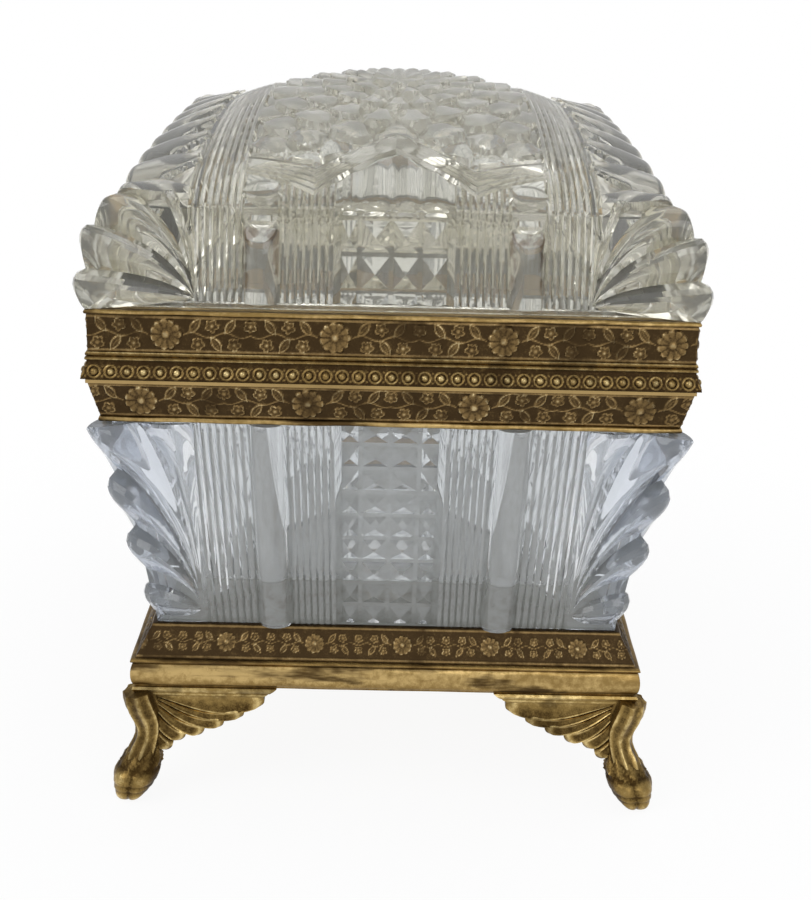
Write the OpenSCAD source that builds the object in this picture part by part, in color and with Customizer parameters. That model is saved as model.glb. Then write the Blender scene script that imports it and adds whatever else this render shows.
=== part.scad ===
// Cut-glass casket box in gilt brass mounts, shown closed.
// The origin is on the floor at the centre of the box. The length runs along X,
// the hinge is on the +Y side, the lock is on the -Y side and +Z is up.
// An inset is always counted inwards from the edge of the body's rim, the same
// on all four sides.

/* [Box] */
// Length over the edge of the body rim
box_l = 136.4; // [124:0.1:150]
// Width over the edge of the body rim
box_w = 104; // [94:0.1:116]
// Height of the four feet under the base plate
foot_h = 22.6; // [20:0.1:26]

/* [Base] */
// Inset of the widest line of the base moulding
base_inset = 4.9; // [4:0.1:6]
// Height of the base moulding
moulding_h = 5.7; // [5:0.1:7]
// Thickness of the base plate
plate_t = 1.5; // [1:0.1:2]
// Height of the sloping base frieze
base_frieze_h = 5.7; // [5:0.1:7]
// How far the base frieze slopes inwards over its height
base_frieze_slope = 3; // [2:0.1:3.5]
// Depth of the glass foot inside the base frieze
glass_seat = 3.4; // [2:0.1:4]

/* [Glass body] */
// Height of the bare glass between the base frieze and the body rim
body_glass_h = 41; // [36:0.1:48]
// Inset of the glass wall at its foot
wall_inset_low = 9.7; // [9.3:0.1:10.5]
// Inset of the glass wall under the rim
wall_inset_high = 3.6; // [3:0.1:4.2]
// Thickness of the glass floor
floor_t = 10.4; // [8:0.1:13]
// Thickness of the glass lip inside the rims
lip_t = 6.5; // [5:0.1:7]
// Thickness of the glass wall at the floor
wall_t = 6.4; // [5:0.1:7]

/* [Glass lid] */
// Height of the upright lid wall over the lid rim
lid_wall_h = 16.4; // [14:0.1:19]
// Rise of the dome over the lid wall
dome_rise = 15.6; // [12:0.1:19]
// Inset of the lid wall at its foot
lid_inset_low = 3.1; // [2.8:0.1:3.6]
// Inset of the lid's shoulder
lid_inset_high = 5.3; // [4.6:0.1:6]

/* [Cutting] */
// Pitch of the diamonds on the body
body_diamond = 4.3; // [4:0.05:4.6]
// Pitch of the diamonds on the lid
lid_diamond = 4.9; // [4.6:0.05:5.1]
// Depth of the grooves between the diamonds
diamond_deep = 1.4; // [0.8:0.1:1.8]
// Depth of the grooves between the reeds
reed_deep = 0.6; // [0.3:0.1:0.9]
// Rise of the half-round pillars on the body
body_pillar_rise = 2.3; // [1.5:0.1:2.6]
// Rise of the half-round pillars on the lid
lid_pillar_rise = 1.8; // [1.2:0.1:2.2]
// Rise of the gadroons and petals on the dome
gadroon_rise = 1.5; // [0.8:0.1:2]

/* [Rims] */
// Height of the body rim
body_rim_h = 8.4; // [7.6:0.1:10]
// How far the body rim slopes inwards from its top to its foot
body_rim_slope = 2; // [1:0.1:2.2]
// Gap between the two rims
rim_gap = 0.3; // [0.25:0.05:0.4]
// Height of the lid rim
lid_rim_h = 11.9; // [11:0.1:14]
// Inset of the lid rim's frieze
lid_frieze_inset = 0.5; // [0.3:0.1:0.8]
// How far the foot of the bead row stands out past the body rim
bead_flare = 0.7; // [0.4:0.1:0.9]
// Thickness of the collars' sheet
collar_t = 0.7; // [0.5:0.05:0.9]
// Thickness of the friezes' stamped strip
frieze_t = 1; // [0.8:0.05:1.2]
// Height of the turned-in flange of each collar
flange_t = 1.2; // [1:0.05:1.5]
// Diameter of the half-round wire under the body frieze
wire_d = 1.4; // [1.2:0.1:1.6]

/* [Hinge] */
// Length of the hinge
hinge_l = 70; // [50:1:90]
// Number of knuckles, an odd number
knuckles = 5; // [3:2:7]
// Diameter of the knuckles
knuckle_d = 3; // [2.8:0.05:3.2]
// Diameter of the hinge pin
pin_d = 1.4; // [1.2:0.05:1.6]
// Thickness of the hinge leaves
leaf_t = 0.6; // [0.4:0.05:0.7]
// Width of the hinge leaves
leaf_w = 7; // [5:0.1:8]

/* [Lock] */
// Length of the lock case
lock_l = 25; // [24:0.5:30]
// Thickness of the lock case's sheet
lock_t = 0.8; // [0.6:0.05:0.9]
// Distance from the middle to each staple
staple_x = 7; // [6.5:0.1:7.5]
// Travel of the bolt
bolt_travel = 2.8; // [2.4:0.1:3]
// Radius of the keyhole's round end
keyhole_r = 1.3; // [1:0.05:1.4]

/* [Feet] */
// Length of each foot's bracket along the base
bracket_l = 27; // [22:0.5:32]
// Radius of the claw end
claw_r = 5; // [4.4:0.1:5.4]
// Radius of the foot screws' shanks
screw_r = 1; // [0.8:0.05:1.2]

/* [Hidden] */

gilt = "darkgoldenrod";
pale_gilt = "goldenrod";
plaster = "antiquewhite";
body_tint = "lavender";
lid_tint = "lightgray";
steel = "slategray";

// Clearance between parts that slide or turn on each other
slack = 0.05;
// Gap left round a part that is dropped into a pocket
ease = 0.2;
// How far a cutter runs past the surface that it cuts
past = 1;
// Depth of the bed that the diamonds stand on
diamond_bed = diamond_deep + 0.5;
// Depth of the bed round the pillars, and height of their rounded heads
panel_bed = 0.4;
pillar_head = 0.8;

// Heights, from the floor up
moulding_z = foot_h + moulding_h;
glass_z = moulding_z + base_frieze_h;
rim_z = glass_z + body_glass_h;
rim_top = rim_z + body_rim_h;
lid_z = rim_top + rim_gap;
lid_rim_top = lid_z + lid_rim_h;
shoulder_z = lid_rim_top + lid_wall_h;
crown_z = shoulder_z + dome_rise;
seat_z = glass_z - glass_seat;
floor_z = seat_z + floor_t;

// Insets shared by the rims and the glass lips that they hold
mouth_inset = lip_t + wall_inset_high + 1.1;
lip_inset = mouth_inset - lip_t;
turn_inset = mouth_inset + 0.2;

function hx(inset) = box_l / 2 - inset;
function hy(inset) = box_w / 2 - inset;
function mix(a, b, s) = a + (b - a) * s;

// A rectangular block whose sides stand at one inset
module block(inset, low, high) {
    translate([-hx(inset), -hy(inset), low])
        cube([2 * hx(inset), 2 * hy(inset), high - low]);
}

// A frame with mitred corners. The profile's points are [inset, height],
// listed anticlockwise as seen on the cut end of the +X side.
module mitred_frame(profile) {
    n = len(profile);
    corners = [[1, 1], [-1, 1], [-1, -1], [1, -1]];
    points = [for (c = corners, p = profile) [c[0] * hx(p[0]), c[1] * hy(p[0]), p[1]]];
    faces = [for (k = [0:3], i = [0:n - 1])
        let (j = (i + 1) % n, next = (k + 1) % 4)
        [k * n + i, k * n + j, next * n + j, next * n + i]];
    polyhedron(points, faces);
}

// A solid between two rings of points with equal counts
module loft(low, high) {
    n = len(low);
    faces = [for (i = [0:n - 1])
        let (j = (i + 1) % n)
        each [[i, n + i, n + j], [i, n + j, j]]];
    caps = [[for (i = [0:n - 1]) i], [for (i = [n - 1:-1:0]) n + i]];
    polyhedron(concat(low, high), concat(faces, caps));
}

// Sharp reeds or diamonds across a span: [place, depth] from groove to groove
function reeds(from, to, count, deep) =
    [for (i = [0:2 * count]) [mix(from, to, i / (2 * count)), i % 2 == 0 ? deep : 0]];

// The cutting across half a face, from its middle outwards. A layout is
// [columns of diamonds in the half, diamond pitch, inner reeds from and to,
// their count, pillar from and to, outer reeds from and to, their count].
function half_face(layout) = concat(
    [[0, diamond_bed], [layout[0] * layout[1] - 0.4, diamond_bed], [layout[0] * layout[1] + 0.2, 0.6]],
    reeds(layout[2], layout[3], layout[4], reed_deep),
    [[layout[5], panel_bed], [layout[6], panel_bed]],
    reeds(layout[7], layout[8], layout[9], reed_deep)
);

// The whole face, mirrored about its middle
function full_face(layout) =
    let (half = half_face(layout), n = len(half))
    concat([for (i = [n - 1:-1:1]) [-half[i][0], half[i][1]]], half);

// How much narrower and wider the body's cutting is at its foot and its top
body_spread = [0.97, 1.03];

// Layouts of the cutting on the four upright faces
function end_body() = [2, body_diamond, 9.4, 18.2, 7, 18.8, 25, 25.2, 33.4, 7];
function side_body() = [5, body_diamond, 22.4, 32.4, 7, 33, 40.6, 40.8, 49.6, 6];
function end_lid() = [2, lid_diamond, 10.4, 19.2, 6, 19.8, 25, 25.3, 34, 5];
function side_lid() = [4, lid_diamond, 20.4, 31.2, 7, 32, 40, 40.4, 49.4, 5];

// Plan outline of a cut wall at one height. The spread widens the cutting
// towards the top of a wall that leans outwards.
function wall_ring(inset, z, ends, sides, spread) =
    let (e = full_face(ends), s = full_face(sides), cx = hx(inset + 1.6), cy = hy(inset + 1.6))
    concat(
        [for (p = e) [hx(inset + p[1]), p[0] * spread, z]], [[cx, cy, z]],
        [for (p = s) [-p[0] * spread, hy(inset + p[1]), z]], [[-cx, cy, z]],
        [for (p = e) [-hx(inset + p[1]), -p[0] * spread, z]], [[-cx, -cy, z]],
        [for (p = s) [p[0] * spread, -hy(inset + p[1]), z]], [[cx, -cy, z]]
    );

// A panel of sharp diamonds for the +X side, from [half size, height] at its
// foot to [half size, height] at its top, that widens by the spreads given
module diamond_panel(low, high, columns, rows, pitch, spreads) {
    function on_face(column, row, deep) =
        let (s = row / rows)
        [mix(low[0], high[0], s) - deep, (column - columns / 2) * pitch * mix(spreads[0], spreads[1], s),
         mix(low[1], high[1], s)];
    grooves = [for (c = [0:columns], r = [0:rows]) on_face(c, r, diamond_deep)];
    points = [for (c = [0:columns - 1], r = [0:rows - 1]) on_face(c + 0.5, r + 0.5, 0)];
    back = [for (c = [0, columns], r = [0, rows]) on_face(c, r, diamond_deep + 2)];
    function groove(c, r) = c * (rows + 1) + r;
    first = len(grooves) + len(points);
    facets = [for (c = [0:columns - 1], r = [0:rows - 1])
        let (top = len(grooves) + c * rows + r,
             ring = [groove(c, r), groove(c, r + 1), groove(c + 1, r + 1), groove(c + 1, r)])
        each [for (k = [0:3]) [ring[k], ring[(k + 1) % 4], top]]];
    walls = [
        concat([for (r = [rows:-1:0]) groove(0, r)], [first, first + 1]),
        concat([for (r = [0:rows]) groove(columns, r)], [first + 3, first + 2]),
        concat([for (c = [0:columns]) groove(c, 0)], [first + 2, first]),
        concat([for (c = [columns:-1:0]) groove(c, rows)], [first + 1, first + 3]),
        [first, first + 2, first + 3, first + 1]
    ];
    polyhedron(concat(grooves, points, back), concat(facets, walls));
}

// Diamond panels on the two ends and the two long sides
module diamonds(inset_low, z_low, inset_high, z_high, pitch, rows, end_columns, side_columns, spreads) {
    for (turn = [0, 180]) {
        rotate([0, 0, turn])
            diamond_panel([hx(inset_low), z_low], [hx(inset_high), z_high], end_columns, rows, pitch, spreads);
        rotate([0, 0, turn + 90])
            diamond_panel([hy(inset_low), z_low], [hy(inset_high), z_high], side_columns, rows, pitch, spreads);
    }
}

// A half-round pillar on the +X side, between two places across the face,
// from [half size, height] to [half size, height], with a rounded head
module pillar(low, high, from, to, rise) {
    head = pillar_head;
    for (side = [-1, 1])
        hull()
            for (end = [[0, 0, 1], [1, -head, 1], [1, 0, 1 - head / 2]])
                translate([mix(low[0], high[0], end[0]) - panel_bed, side * (from + to) / 2,
                    mix(low[1], high[1], end[0]) + end[1]])
                    scale([rise * end[2], (to - from) / 2, 0.01])
                        cylinder(h = 1, r = 1, $fn = 10);
}

// Pillars on the two ends and the two long sides
module pillars(inset_low, z_low, inset_high, z_high, end_layout, side_layout, rise) {
    for (turn = [0, 180]) {
        rotate([0, 0, turn])
            pillar([hx(inset_low), z_low], [hx(inset_high), z_high], end_layout[5], end_layout[6], rise);
        rotate([0, 0, turn + 90])
            pillar([hy(inset_low), z_low], [hy(inset_high), z_high], side_layout[5], side_layout[6], rise);
    }
}

// Repeats what is drawn at the +X +Y corner at all four corners
module each_corner() {
    for (mx = [0, 1], my = [0, 1])
        mirror([mx, 0, 0]) mirror([0, my, 0]) children();
}

// Shells wrap the four corners. Each is a fan of ribs on the end face and its
// mirror on the long face, and both run out to one scalloped corner edge.
// A line of a fan is [tip, how far it lies on a ridge from 0 to 1], and the
// lines from edge_from on end at the corner edge.
shell_rings = [0.3, 0.65, 1];
function over_corner(p) = [p[1] + (box_l - box_w) / 2, p[0] - (box_l - box_w) / 2, p[2]];
function rib_point(root, tip, ridge, s) =
    let (bend_y = mix(root[1], tip[1], 0.25), bend_z = mix(root[2], tip[2], 0.75))
    [mix(root[0], tip[0], s) + ridge * sin(90 * s) * (s < 1 ? 1 : 0),
     mix(mix(root[1], bend_y, s), mix(bend_y, tip[1], s), s),
     mix(mix(root[2], bend_z, s), mix(bend_z, tip[2], s), s)];

module shell(root, lines, edge_from, core, ridge) {
    n = len(lines);
    rings = len(shell_rings);
    fan = [for (k = lines, s = shell_rings) rib_point(root, k[0], ridge * k[1], s)];
    side = 1 + len(fan);
    middle = 2 * side;
    function at(k, m) = 1 + k * rings + m;
    function at_side(k, m) = m == rings - 1 && k >= edge_from ? at(k, m) : side + at(k, m);
    front = [for (k = [0:n - 2])
        each concat([[0, at(k, 0), at(k + 1, 0)], [side, at_side(k + 1, 0), at_side(k, 0)]],
            [for (m = [0:rings - 2])
                each [[at(k, m), at(k, m + 1), at(k + 1, m + 1)], [at(k, m), at(k + 1, m + 1), at(k + 1, m)],
                      [at_side(k, m), at_side(k + 1, m + 1), at_side(k, m + 1)],
                      [at_side(k, m), at_side(k + 1, m), at_side(k + 1, m + 1)]]])];
    top = [for (k = [0:edge_from - 1])
        each [[at(k + 1, rings - 1), at(k, rings - 1), middle],
              [at_side(k, rings - 1), at_side(k + 1, rings - 1), middle]]];
    flanks = concat(
        [[at(0, 0), 0, middle], [side, at_side(0, 0), middle],
         [0, at(n - 1, 0), middle], [at_side(n - 1, 0), side, middle]],
        [for (m = [0:rings - 2])
            each [[at(0, m + 1), at(0, m), middle], [at_side(0, m), at_side(0, m + 1), middle],
                  [at(n - 1, m), at(n - 1, m + 1), middle],
                  [at_side(n - 1, m + 1), at_side(n - 1, m), middle]]]);
    polyhedron(
        concat([root], fan, [over_corner(root)], [for (p = fan) over_corner(p)], [core]),
        concat(front, top, flanks));
}

// Body shells: a wide rib and half of the first lobe run up under the rim, and
// four lobes step inwards down the corner. Each lobe swells quickly and tapers.
fan_root = 18.4;
lobe_steps = 3;
body_ribs = 2;
body_lobes = 4;
function lobe(w) = sin(180 * pow(w, 0.63));
function body_shell_lines() =
    let (top = rim_z - 0.15, first = 9, pitch = (rim_z - first - glass_z + 2.2) / (body_lobes - 1),
         lean = (wall_inset_low - wall_inset_high) / body_glass_h * 1.55)
    concat(
        [for (k = [0:body_ribs * lobe_steps - 1])
            let (s = k / lobe_steps, g = s < 1 ? sin(180 * s) : sin(90 * (s - 1)))
            [[hx(s < 1 ? mix(wall_inset_high - 0.4, 3.1, s) - g : mix(3.1, 0, g)),
              hy(s < 1 ? mix(fan_root - 0.8, 8, s) : mix(8, 0, s - 1)), top], g]],
        [for (k = [0:body_lobes * lobe_steps])
            let (w = k / lobe_steps - floor(k / lobe_steps),
                 g = k < lobe_steps ? lobe(mix(1 / 3, 1, w)) : lobe(w),
                 z = k < lobe_steps ? rim_z - first * w : rim_z - first - (k / lobe_steps - 1) * pitch,
                 inset = wall_inset_high - 1.5 + (rim_z - z) * lean - 2.1 * g)
            [[hx(inset), hy(inset), max(glass_z - 0.6, min(top, z))], g]]);

module body_shell() {
    root = [hx(wall_inset_low + 0.3), hy(fan_root), glass_z + 2.4];
    shell(root, body_shell_lines(), body_ribs * lobe_steps, [hx(13), hy(13), rim_z - 5], 1.2);
}

// Lid shells: a narrow rib, a wide one with a knob over the shoulder and half
// of the top lobe on each face, and three lobes round the corner
lid_ribs = 3;
lid_lobes = 3;
flute_from = 16.6;
flute_to = 11.4;
function lid_rib_tip(s) =
    s < 1 ? let (g = sin(180 * s))
        [[hx(4.2 - 0.4 * g), hy(mix(fan_root, flute_from, s)), lid_rim_top + 11 + 2 * g], g / 2] :
    s < 2 ? let (g = sin(180 * (s - 1)))
        [[hx(8 - 1.2 * g), hy(mix(flute_from, flute_to, s - 1)), shoulder_z + 0.6 + 2.2 * g], g] :
    let (g = sin(90 * (s - 2)))
        [[hx(mix(8, 5.4, g)), hy(mix(flute_to, 5.4, s - 2)), shoulder_z + 0.6 + 1.6 * g], g];
function lid_shell_lines() =
    concat(
        [for (k = [0:lid_ribs * lobe_steps - 1]) lid_rib_tip(k / lobe_steps)],
        [for (k = [0:lid_lobes * lobe_steps])
            let (w = k / lobe_steps - floor(k / lobe_steps),
                 g = k < lobe_steps ? lobe(mix(1 / 3, 1, w)) : lobe(w),
                 turn = 90 * pow(1 - k / (lid_lobes * lobe_steps), 1.2),
                 inset = 5.4 - 5 * pow(cos(turn), 0.8) - 1.5 * g * cos(turn),
                 rise = lid_wall_h + 0.6 + 1.6 * g)
            [[hx(inset), hy(inset), lid_rim_top + rise * sin(turn)], g]]);

module lid_shell() {
    root = [hx(lid_inset_low + 0.3), hy(fan_root), lid_rim_top + 1.6];
    shell(root, lid_shell_lines(), lid_ribs * lobe_steps, [hx(19), hy(19), shoulder_z + 1], 1.2);
}

// The dome's smooth swell over the shoulder, before any cutting
function swell(x, y) =
    let (tx = min(1, abs(x) / hx(lid_inset_high)), ty = min(1, abs(y) / hy(lid_inset_high)))
    dome_rise * pow(max(0, 1 - tx * tx), 0.6) * pow(max(0, 1 - ty * ty), 0.75);

// Cutting on the dome: two bands of reeds along the length, pointed gadroons
// outside them, a rosette between them and pointed prisms over both ends
band_in = 25.3;
band_out = 34;
band_reeds = 4;
gadroon_pitch = 15;
rosette_bed = 1.7;
function gadroon(x, y) =
    let (along = (abs(y) - band_out) / (hy(lid_inset_high) - band_out),
         across = abs(x / gadroon_pitch - round(x / gadroon_pitch)) * 2 / min(1, 0.2 + 2 * along))
    across < 1 ? gadroon_rise * sqrt(1 - across * across) : 0;
function dome_relief(x, y) =
    abs(y) > band_out + 0.01 ? gadroon(x, y) :
    abs(y) < band_in - 0.01 ? -rosette_bed * min(1, (hx(lid_inset_high) - abs(x)) / 4) : 0;

// The dome as a field of heights on lines that follow the reeds
module dome() {
    edge_x = hx(lid_inset_high + 0.2);
    edge_y = hy(lid_inset_high + 0.2);
    inner = [for (i = [0:3]) i * band_in / 4];
    band = reeds(band_in, band_out, band_reeds, reed_deep);
    outer = [for (i = [1:4]) mix(band_out, edge_y, i / 4)];
    half = concat([for (y = inner) [y, 0]], band, [for (y = outer) [y, 0]]);
    m = len(half);
    rows = concat([for (i = [m - 1:-1:1]) [-half[i][0], half[i][1]]], half);
    columns = concat([-edge_x], [for (i = [-16:16]) i * gadroon_pitch / 4], [edge_x]);
    nx = len(columns);
    ny = len(rows);
    base = shoulder_z - 3;
    top = [for (x = columns, r = rows)
        [x, r[0], shoulder_z + swell(x, r[0]) + dome_relief(x, r[0]) - r[1]]];
    function at(i, j) = i * ny + j;
    edge = concat([for (i = [0:nx - 2]) at(i, 0)], [for (j = [0:ny - 2]) at(nx - 1, j)],
        [for (i = [nx - 1:-1:1]) at(i, ny - 1)], [for (j = [ny - 1:-1:1]) at(0, j)]);
    n = len(edge);
    total = len(top);
    bottom = [for (k = edge) [top[k][0], top[k][1], base]];
    skin = [for (i = [0:nx - 2], j = [0:ny - 2])
        each [[at(i, j), at(i + 1, j + 1), at(i + 1, j)], [at(i, j), at(i, j + 1), at(i + 1, j + 1)]]];
    rim = [for (k = [0:n - 1])
        let (next = (k + 1) % n)
        each [[edge[k], edge[next], total + next], [edge[k], total + next, total + k]]];
    polyhedron(concat(top, bottom), concat(skin, rim, [[for (k = [0:n - 1]) total + k]]));
}

// Four rings of overlapping petals over the middle of the dome, long ovals in
// plan. Each ring's petals stand highest at their outer ends.
rosette_r = 25;
rosette_stretch = 0.52;
petal_rings = 4;
petal_turn = 11.25;
module rosette() {
    n = 360 / petal_turn;
    base = shoulder_z + 2;
    ring_w = rosette_r / petal_rings;
    function point(r, k, rise) =
        let (x = r / rosette_stretch * cos(k * petal_turn), y = r * sin(k * petal_turn))
        [x, y, shoulder_z + swell(x, y) + rise];
    rows = [for (i = [0:petal_rings - 1])
        each [for (part = [[0.06, 0], [0.94, 1]])
            [for (k = [0:n - 1])
                let (ridge = (k + i) % 2 == 0)
                point((i + part[0]) * ring_w, k, (part[1] == 0 ? 0.2 : ridge ? gadroon_rise + 0.3 : 0.6) - 1.5)]]];
    points = concat([for (row = rows) each row], [for (k = [0:n - 1]) [each [rows[len(rows) - 1][k][0],
        rows[len(rows) - 1][k][1]], base]]);
    last = len(rows);
    skin = [for (i = [0:last - 1], k = [0:n - 1])
        let (a = i * n + k, b = i * n + (k + 1) % n, c = b + n, d = a + n)
        each [[a, b, c], [a, c, d]]];
    polyhedron(points, concat(skin,
        [[for (k = [n - 1:-1:0]) k], [for (k = [0:n - 1]) last * n + k]]));
}

// Prisms over the end's diamonds, under a gable. The ridges stand proud of
// the dome and the grooves between them lie on it.
gable_top = 12.7;
gable_slope = 0.8;
module prisms() {
    count = 2 * end_lid()[0];
    function place(c) = (c - count / 2) * lid_diamond;
    function foot(c, rise) = [hx(lid_inset_high), place(c), shoulder_z + rise];
    function head(c, rise) =
        let (x = hx(lid_inset_high + gable_top - gable_slope * abs(place(c))))
        [x, place(c), shoulder_z + swell(x, place(c)) + rise];
    steps = [for (c = [0:2 * count]) [c / 2, c % 2 == 0 ? 0 : 1]];
    m = len(steps);
    points = concat(
        [for (p = steps) foot(p[0], mix(-0.2, 1, p[1]))],
        [for (p = steps) head(p[0], mix(0, 1.3, p[1]))],
        [for (p = steps) [foot(p[0], 0)[0], place(p[0]), shoulder_z - 3]],
        [for (p = steps) [head(p[0], 0)[0], place(p[0]), shoulder_z - 3]]);
    skin = [for (k = [0:m - 2])
        each [[k, m + k, m + k + 1], [k, m + k + 1, k + 1],
              [k, k + 1, 2 * m + k + 1], [k, 2 * m + k + 1, 2 * m + k],
              [m + k, 3 * m + k + 1, m + k + 1], [m + k, 3 * m + k, 3 * m + k + 1],
              [2 * m + k, 2 * m + k + 1, 3 * m + k + 1], [2 * m + k, 3 * m + k + 1, 3 * m + k]]];
    polyhedron(points, concat(skin,
        [[0, 2 * m, 3 * m], [0, 3 * m, m],
         [m - 1, 4 * m - 1, 3 * m - 1], [m - 1, 2 * m - 1, 4 * m - 1]]));
}

// Place of the lock inside the front of the body rim
lock_y = -hy(turn_inset) - 4.4;
lock_low = rim_z + 0.5;
lock_high = rim_top - flange_t;
lock_out = -hy(lip_inset - 0.7);
lock_in = -hy(mouth_inset + 0.2) - 0.6;
lock_half = lock_l / 2;

module glass_body() {
    color(body_tint) difference() {
        union() {
            block(wall_inset_low + 0.5, seat_z, glass_z + past);
            loft(wall_ring(wall_inset_low, glass_z, end_body(), side_body(), body_spread[0]),
                 wall_ring(wall_inset_high, rim_z, end_body(), side_body(), body_spread[1]));
            diamonds(wall_inset_low - 0.02, glass_z + 0.3, wall_inset_high, rim_z - 0.3, body_diamond,
                floor(body_glass_h / body_diamond), 2 * end_body()[0], 2 * side_body()[0], body_spread);
            pillars(wall_inset_low, glass_z + 0.4, wall_inset_high, rim_z - 0.3, end_body(), side_body(),
                body_pillar_rise);
            block(lip_inset, rim_z - past, rim_top - flange_t - ease);
            each_corner() body_shell();
        }
        hull() {
            block(wall_inset_low + wall_t, floor_z, floor_z + past);
            block(mouth_inset, rim_z, rim_top);
        }
        translate([-lock_half - ease, lock_out - past, rim_z + ease])
            cube([lock_l + 2 * ease, lock_in - lock_out + 3 * past, body_rim_h]);
    }
}

module glass_lid() {
    color(lid_tint) difference() {
        union() {
            block(lip_inset, lid_z + flange_t + staple_plate_t + slack, lid_rim_top + past);
            loft(wall_ring(lid_inset_low, lid_rim_top, end_lid(), side_lid(), 1),
                 wall_ring(lid_inset_high, shoulder_z, end_lid(), side_lid(), 1));
            diamonds(lid_inset_low, lid_rim_top + 0.9, lid_inset_high - 0.3, shoulder_z - 0.4,
                lid_diamond, round(lid_wall_h / lid_diamond), 2 * end_lid()[0], 2 * side_lid()[0], [1, 1]);
            pillars(lid_inset_low, lid_rim_top + 1, lid_inset_high, shoulder_z - 2.6, end_lid(), side_lid(),
                lid_pillar_rise);
            dome();
            rosette();
            for (turn = [0, 180])
                rotate([0, 0, turn]) prisms();
            each_corner() lid_shell();
        }
        hull() {
            block(mouth_inset, lid_z, lid_rim_top);
            block(mouth_inset + 3, shoulder_z - 6, shoulder_z - 5);
            block(mouth_inset + 22, crown_z - 10, crown_z - 9.5);
        }
    }
}

module base_plate() {
    color(gilt) difference() {
        block(base_inset + 2, foot_h, foot_h + plate_t);
        each_corner() translate(screw_place(foot_h - past))
            cylinder(h = plate_t + 2 * past, r = screw_r + 2 * slack, $fn = 32);
    }
}

// The base moulding is a half round with a small fillet above and below
module base_moulding() {
    r = moulding_h / 2 - 0.5;
    back = base_inset + 2;
    bulge = [for (a = [-80:20:80])
        [base_inset + 1 - cos(a), foot_h + moulding_h / 2 + r * sin(a)]];
    color(pale_gilt) mitred_frame(concat(
        [[back, foot_h], [base_inset + 0.9, foot_h]],
        bulge,
        [[base_inset + 0.9, moulding_z], [back, moulding_z]]));
}

module base_frieze() {
    low = base_inset + 1;
    high = low + base_frieze_slope;
    color(gilt) mitred_frame([
        [low + frieze_t, moulding_z], [low, moulding_z],
        [high, glass_z], [high + frieze_t, glass_z]
    ]);
}

module base_bedding() {
    top = base_inset + 1 + frieze_t + base_frieze_slope;
    color(plaster) block(top, foot_h + plate_t, seat_z);
}

// The body collar is a channel over the glass lip
module body_collar() {
    out = frieze_t;
    low = out + body_rim_slope;
    top = rim_top - flange_t;
    color(gilt) difference() {
        mitred_frame([
            [low + collar_t, rim_z + 0.3], [low, rim_z + 0.3], [out, top + 0.6],
            [0, top + 0.6], [0, rim_top], [turn_inset + 0.6, rim_top],
            [turn_inset + 0.6, rim_top - 4.3], [turn_inset, rim_top - 4.3],
            [turn_inset, top], [out + collar_t, top]
        ]);
        keyhole_cut();
        staple_slots(rim_top - flange_t, 0.5);
        hinge_pocket(rim_top - leaf_t, rim_top + past);
        barrel_clearance();
    }
}

module body_cement() {
    low = frieze_t + body_rim_slope + collar_t;
    color(plaster) difference() {
        mitred_frame([
            [lip_inset, rim_z + 0.3], [low, rim_z + 0.3],
            [frieze_t + collar_t, rim_top - flange_t], [lip_inset, rim_top - flange_t]
        ]);
        translate([-lock_half - ease, -hy(0), rim_z]) cube([lock_l + 2 * ease, hy(0) / 2, body_rim_h]);
    }
}

// The stamped strip that faces the body collar
module body_frieze() {
    high = rim_top - flange_t + 0.6;
    low = rim_z + wire_d;
    slope = body_rim_slope / (high - rim_z - 0.3);
    function back(z) = frieze_t + slope * (high - z);
    color(gilt) difference() {
        mitred_frame([
            [back(low), low], [back(low) - frieze_t + 0.3, low],
            [0.3, high], [back(high), high]
        ]);
        keyhole_cut();
        barrel_clearance();
    }
}

module body_lower_wire() {
    high = rim_top - flange_t + 0.6;
    slope = body_rim_slope / (high - rim_z - 0.3);
    function back(z) = frieze_t + slope * (high - z);
    low = rim_z + 0.3;
    top = rim_z + wire_d;
    mid = (low + top) / 2;
    r = (top - low) / 2;
    color(pale_gilt) mitred_frame(concat(
        [[back(low), low]],
        [for (a = [-90:30:90]) [back(mid + r * sin(a)) - 0.5 - 0.7 * cos(a), mid + r * sin(a)]],
        [[back(top), top]]
    ));
}

// The lid collar is the same channel turned over
module lid_collar() {
    out = lid_frieze_inset + frieze_t;
    color(gilt) difference() {
        mitred_frame([
            [turn_inset + 0.6, lid_z], [out, lid_z],
            [out, lid_rim_top], [lip_inset - 0.8, lid_rim_top],
            [lip_inset - 0.8, lid_rim_top - 0.6], [out + collar_t, lid_rim_top - 0.6],
            [out + collar_t, lid_z + flange_t], [turn_inset, lid_z + flange_t],
            [turn_inset, lid_z + 4.3], [turn_inset + 0.6, lid_z + 4.3]
        ]);
        hinge_pocket(lid_z - past, lid_z + leaf_t);
        barrel_clearance();
        staple_slots(lid_z, slack);
    }
}

module lid_cement() {
    out = lid_frieze_inset + frieze_t + collar_t;
    color(plaster) mitred_frame([
        [lip_inset, lid_z + flange_t], [out, lid_z + flange_t],
        [out, lid_rim_top - 0.6], [lip_inset, lid_rim_top - 0.6]
    ]);
}

// Heights on the lid rim: bead row, double fillet, frieze and top wire
bead_h = 3.1;
fillet_h = 1.5;
top_wire_h = 0.8;

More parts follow.
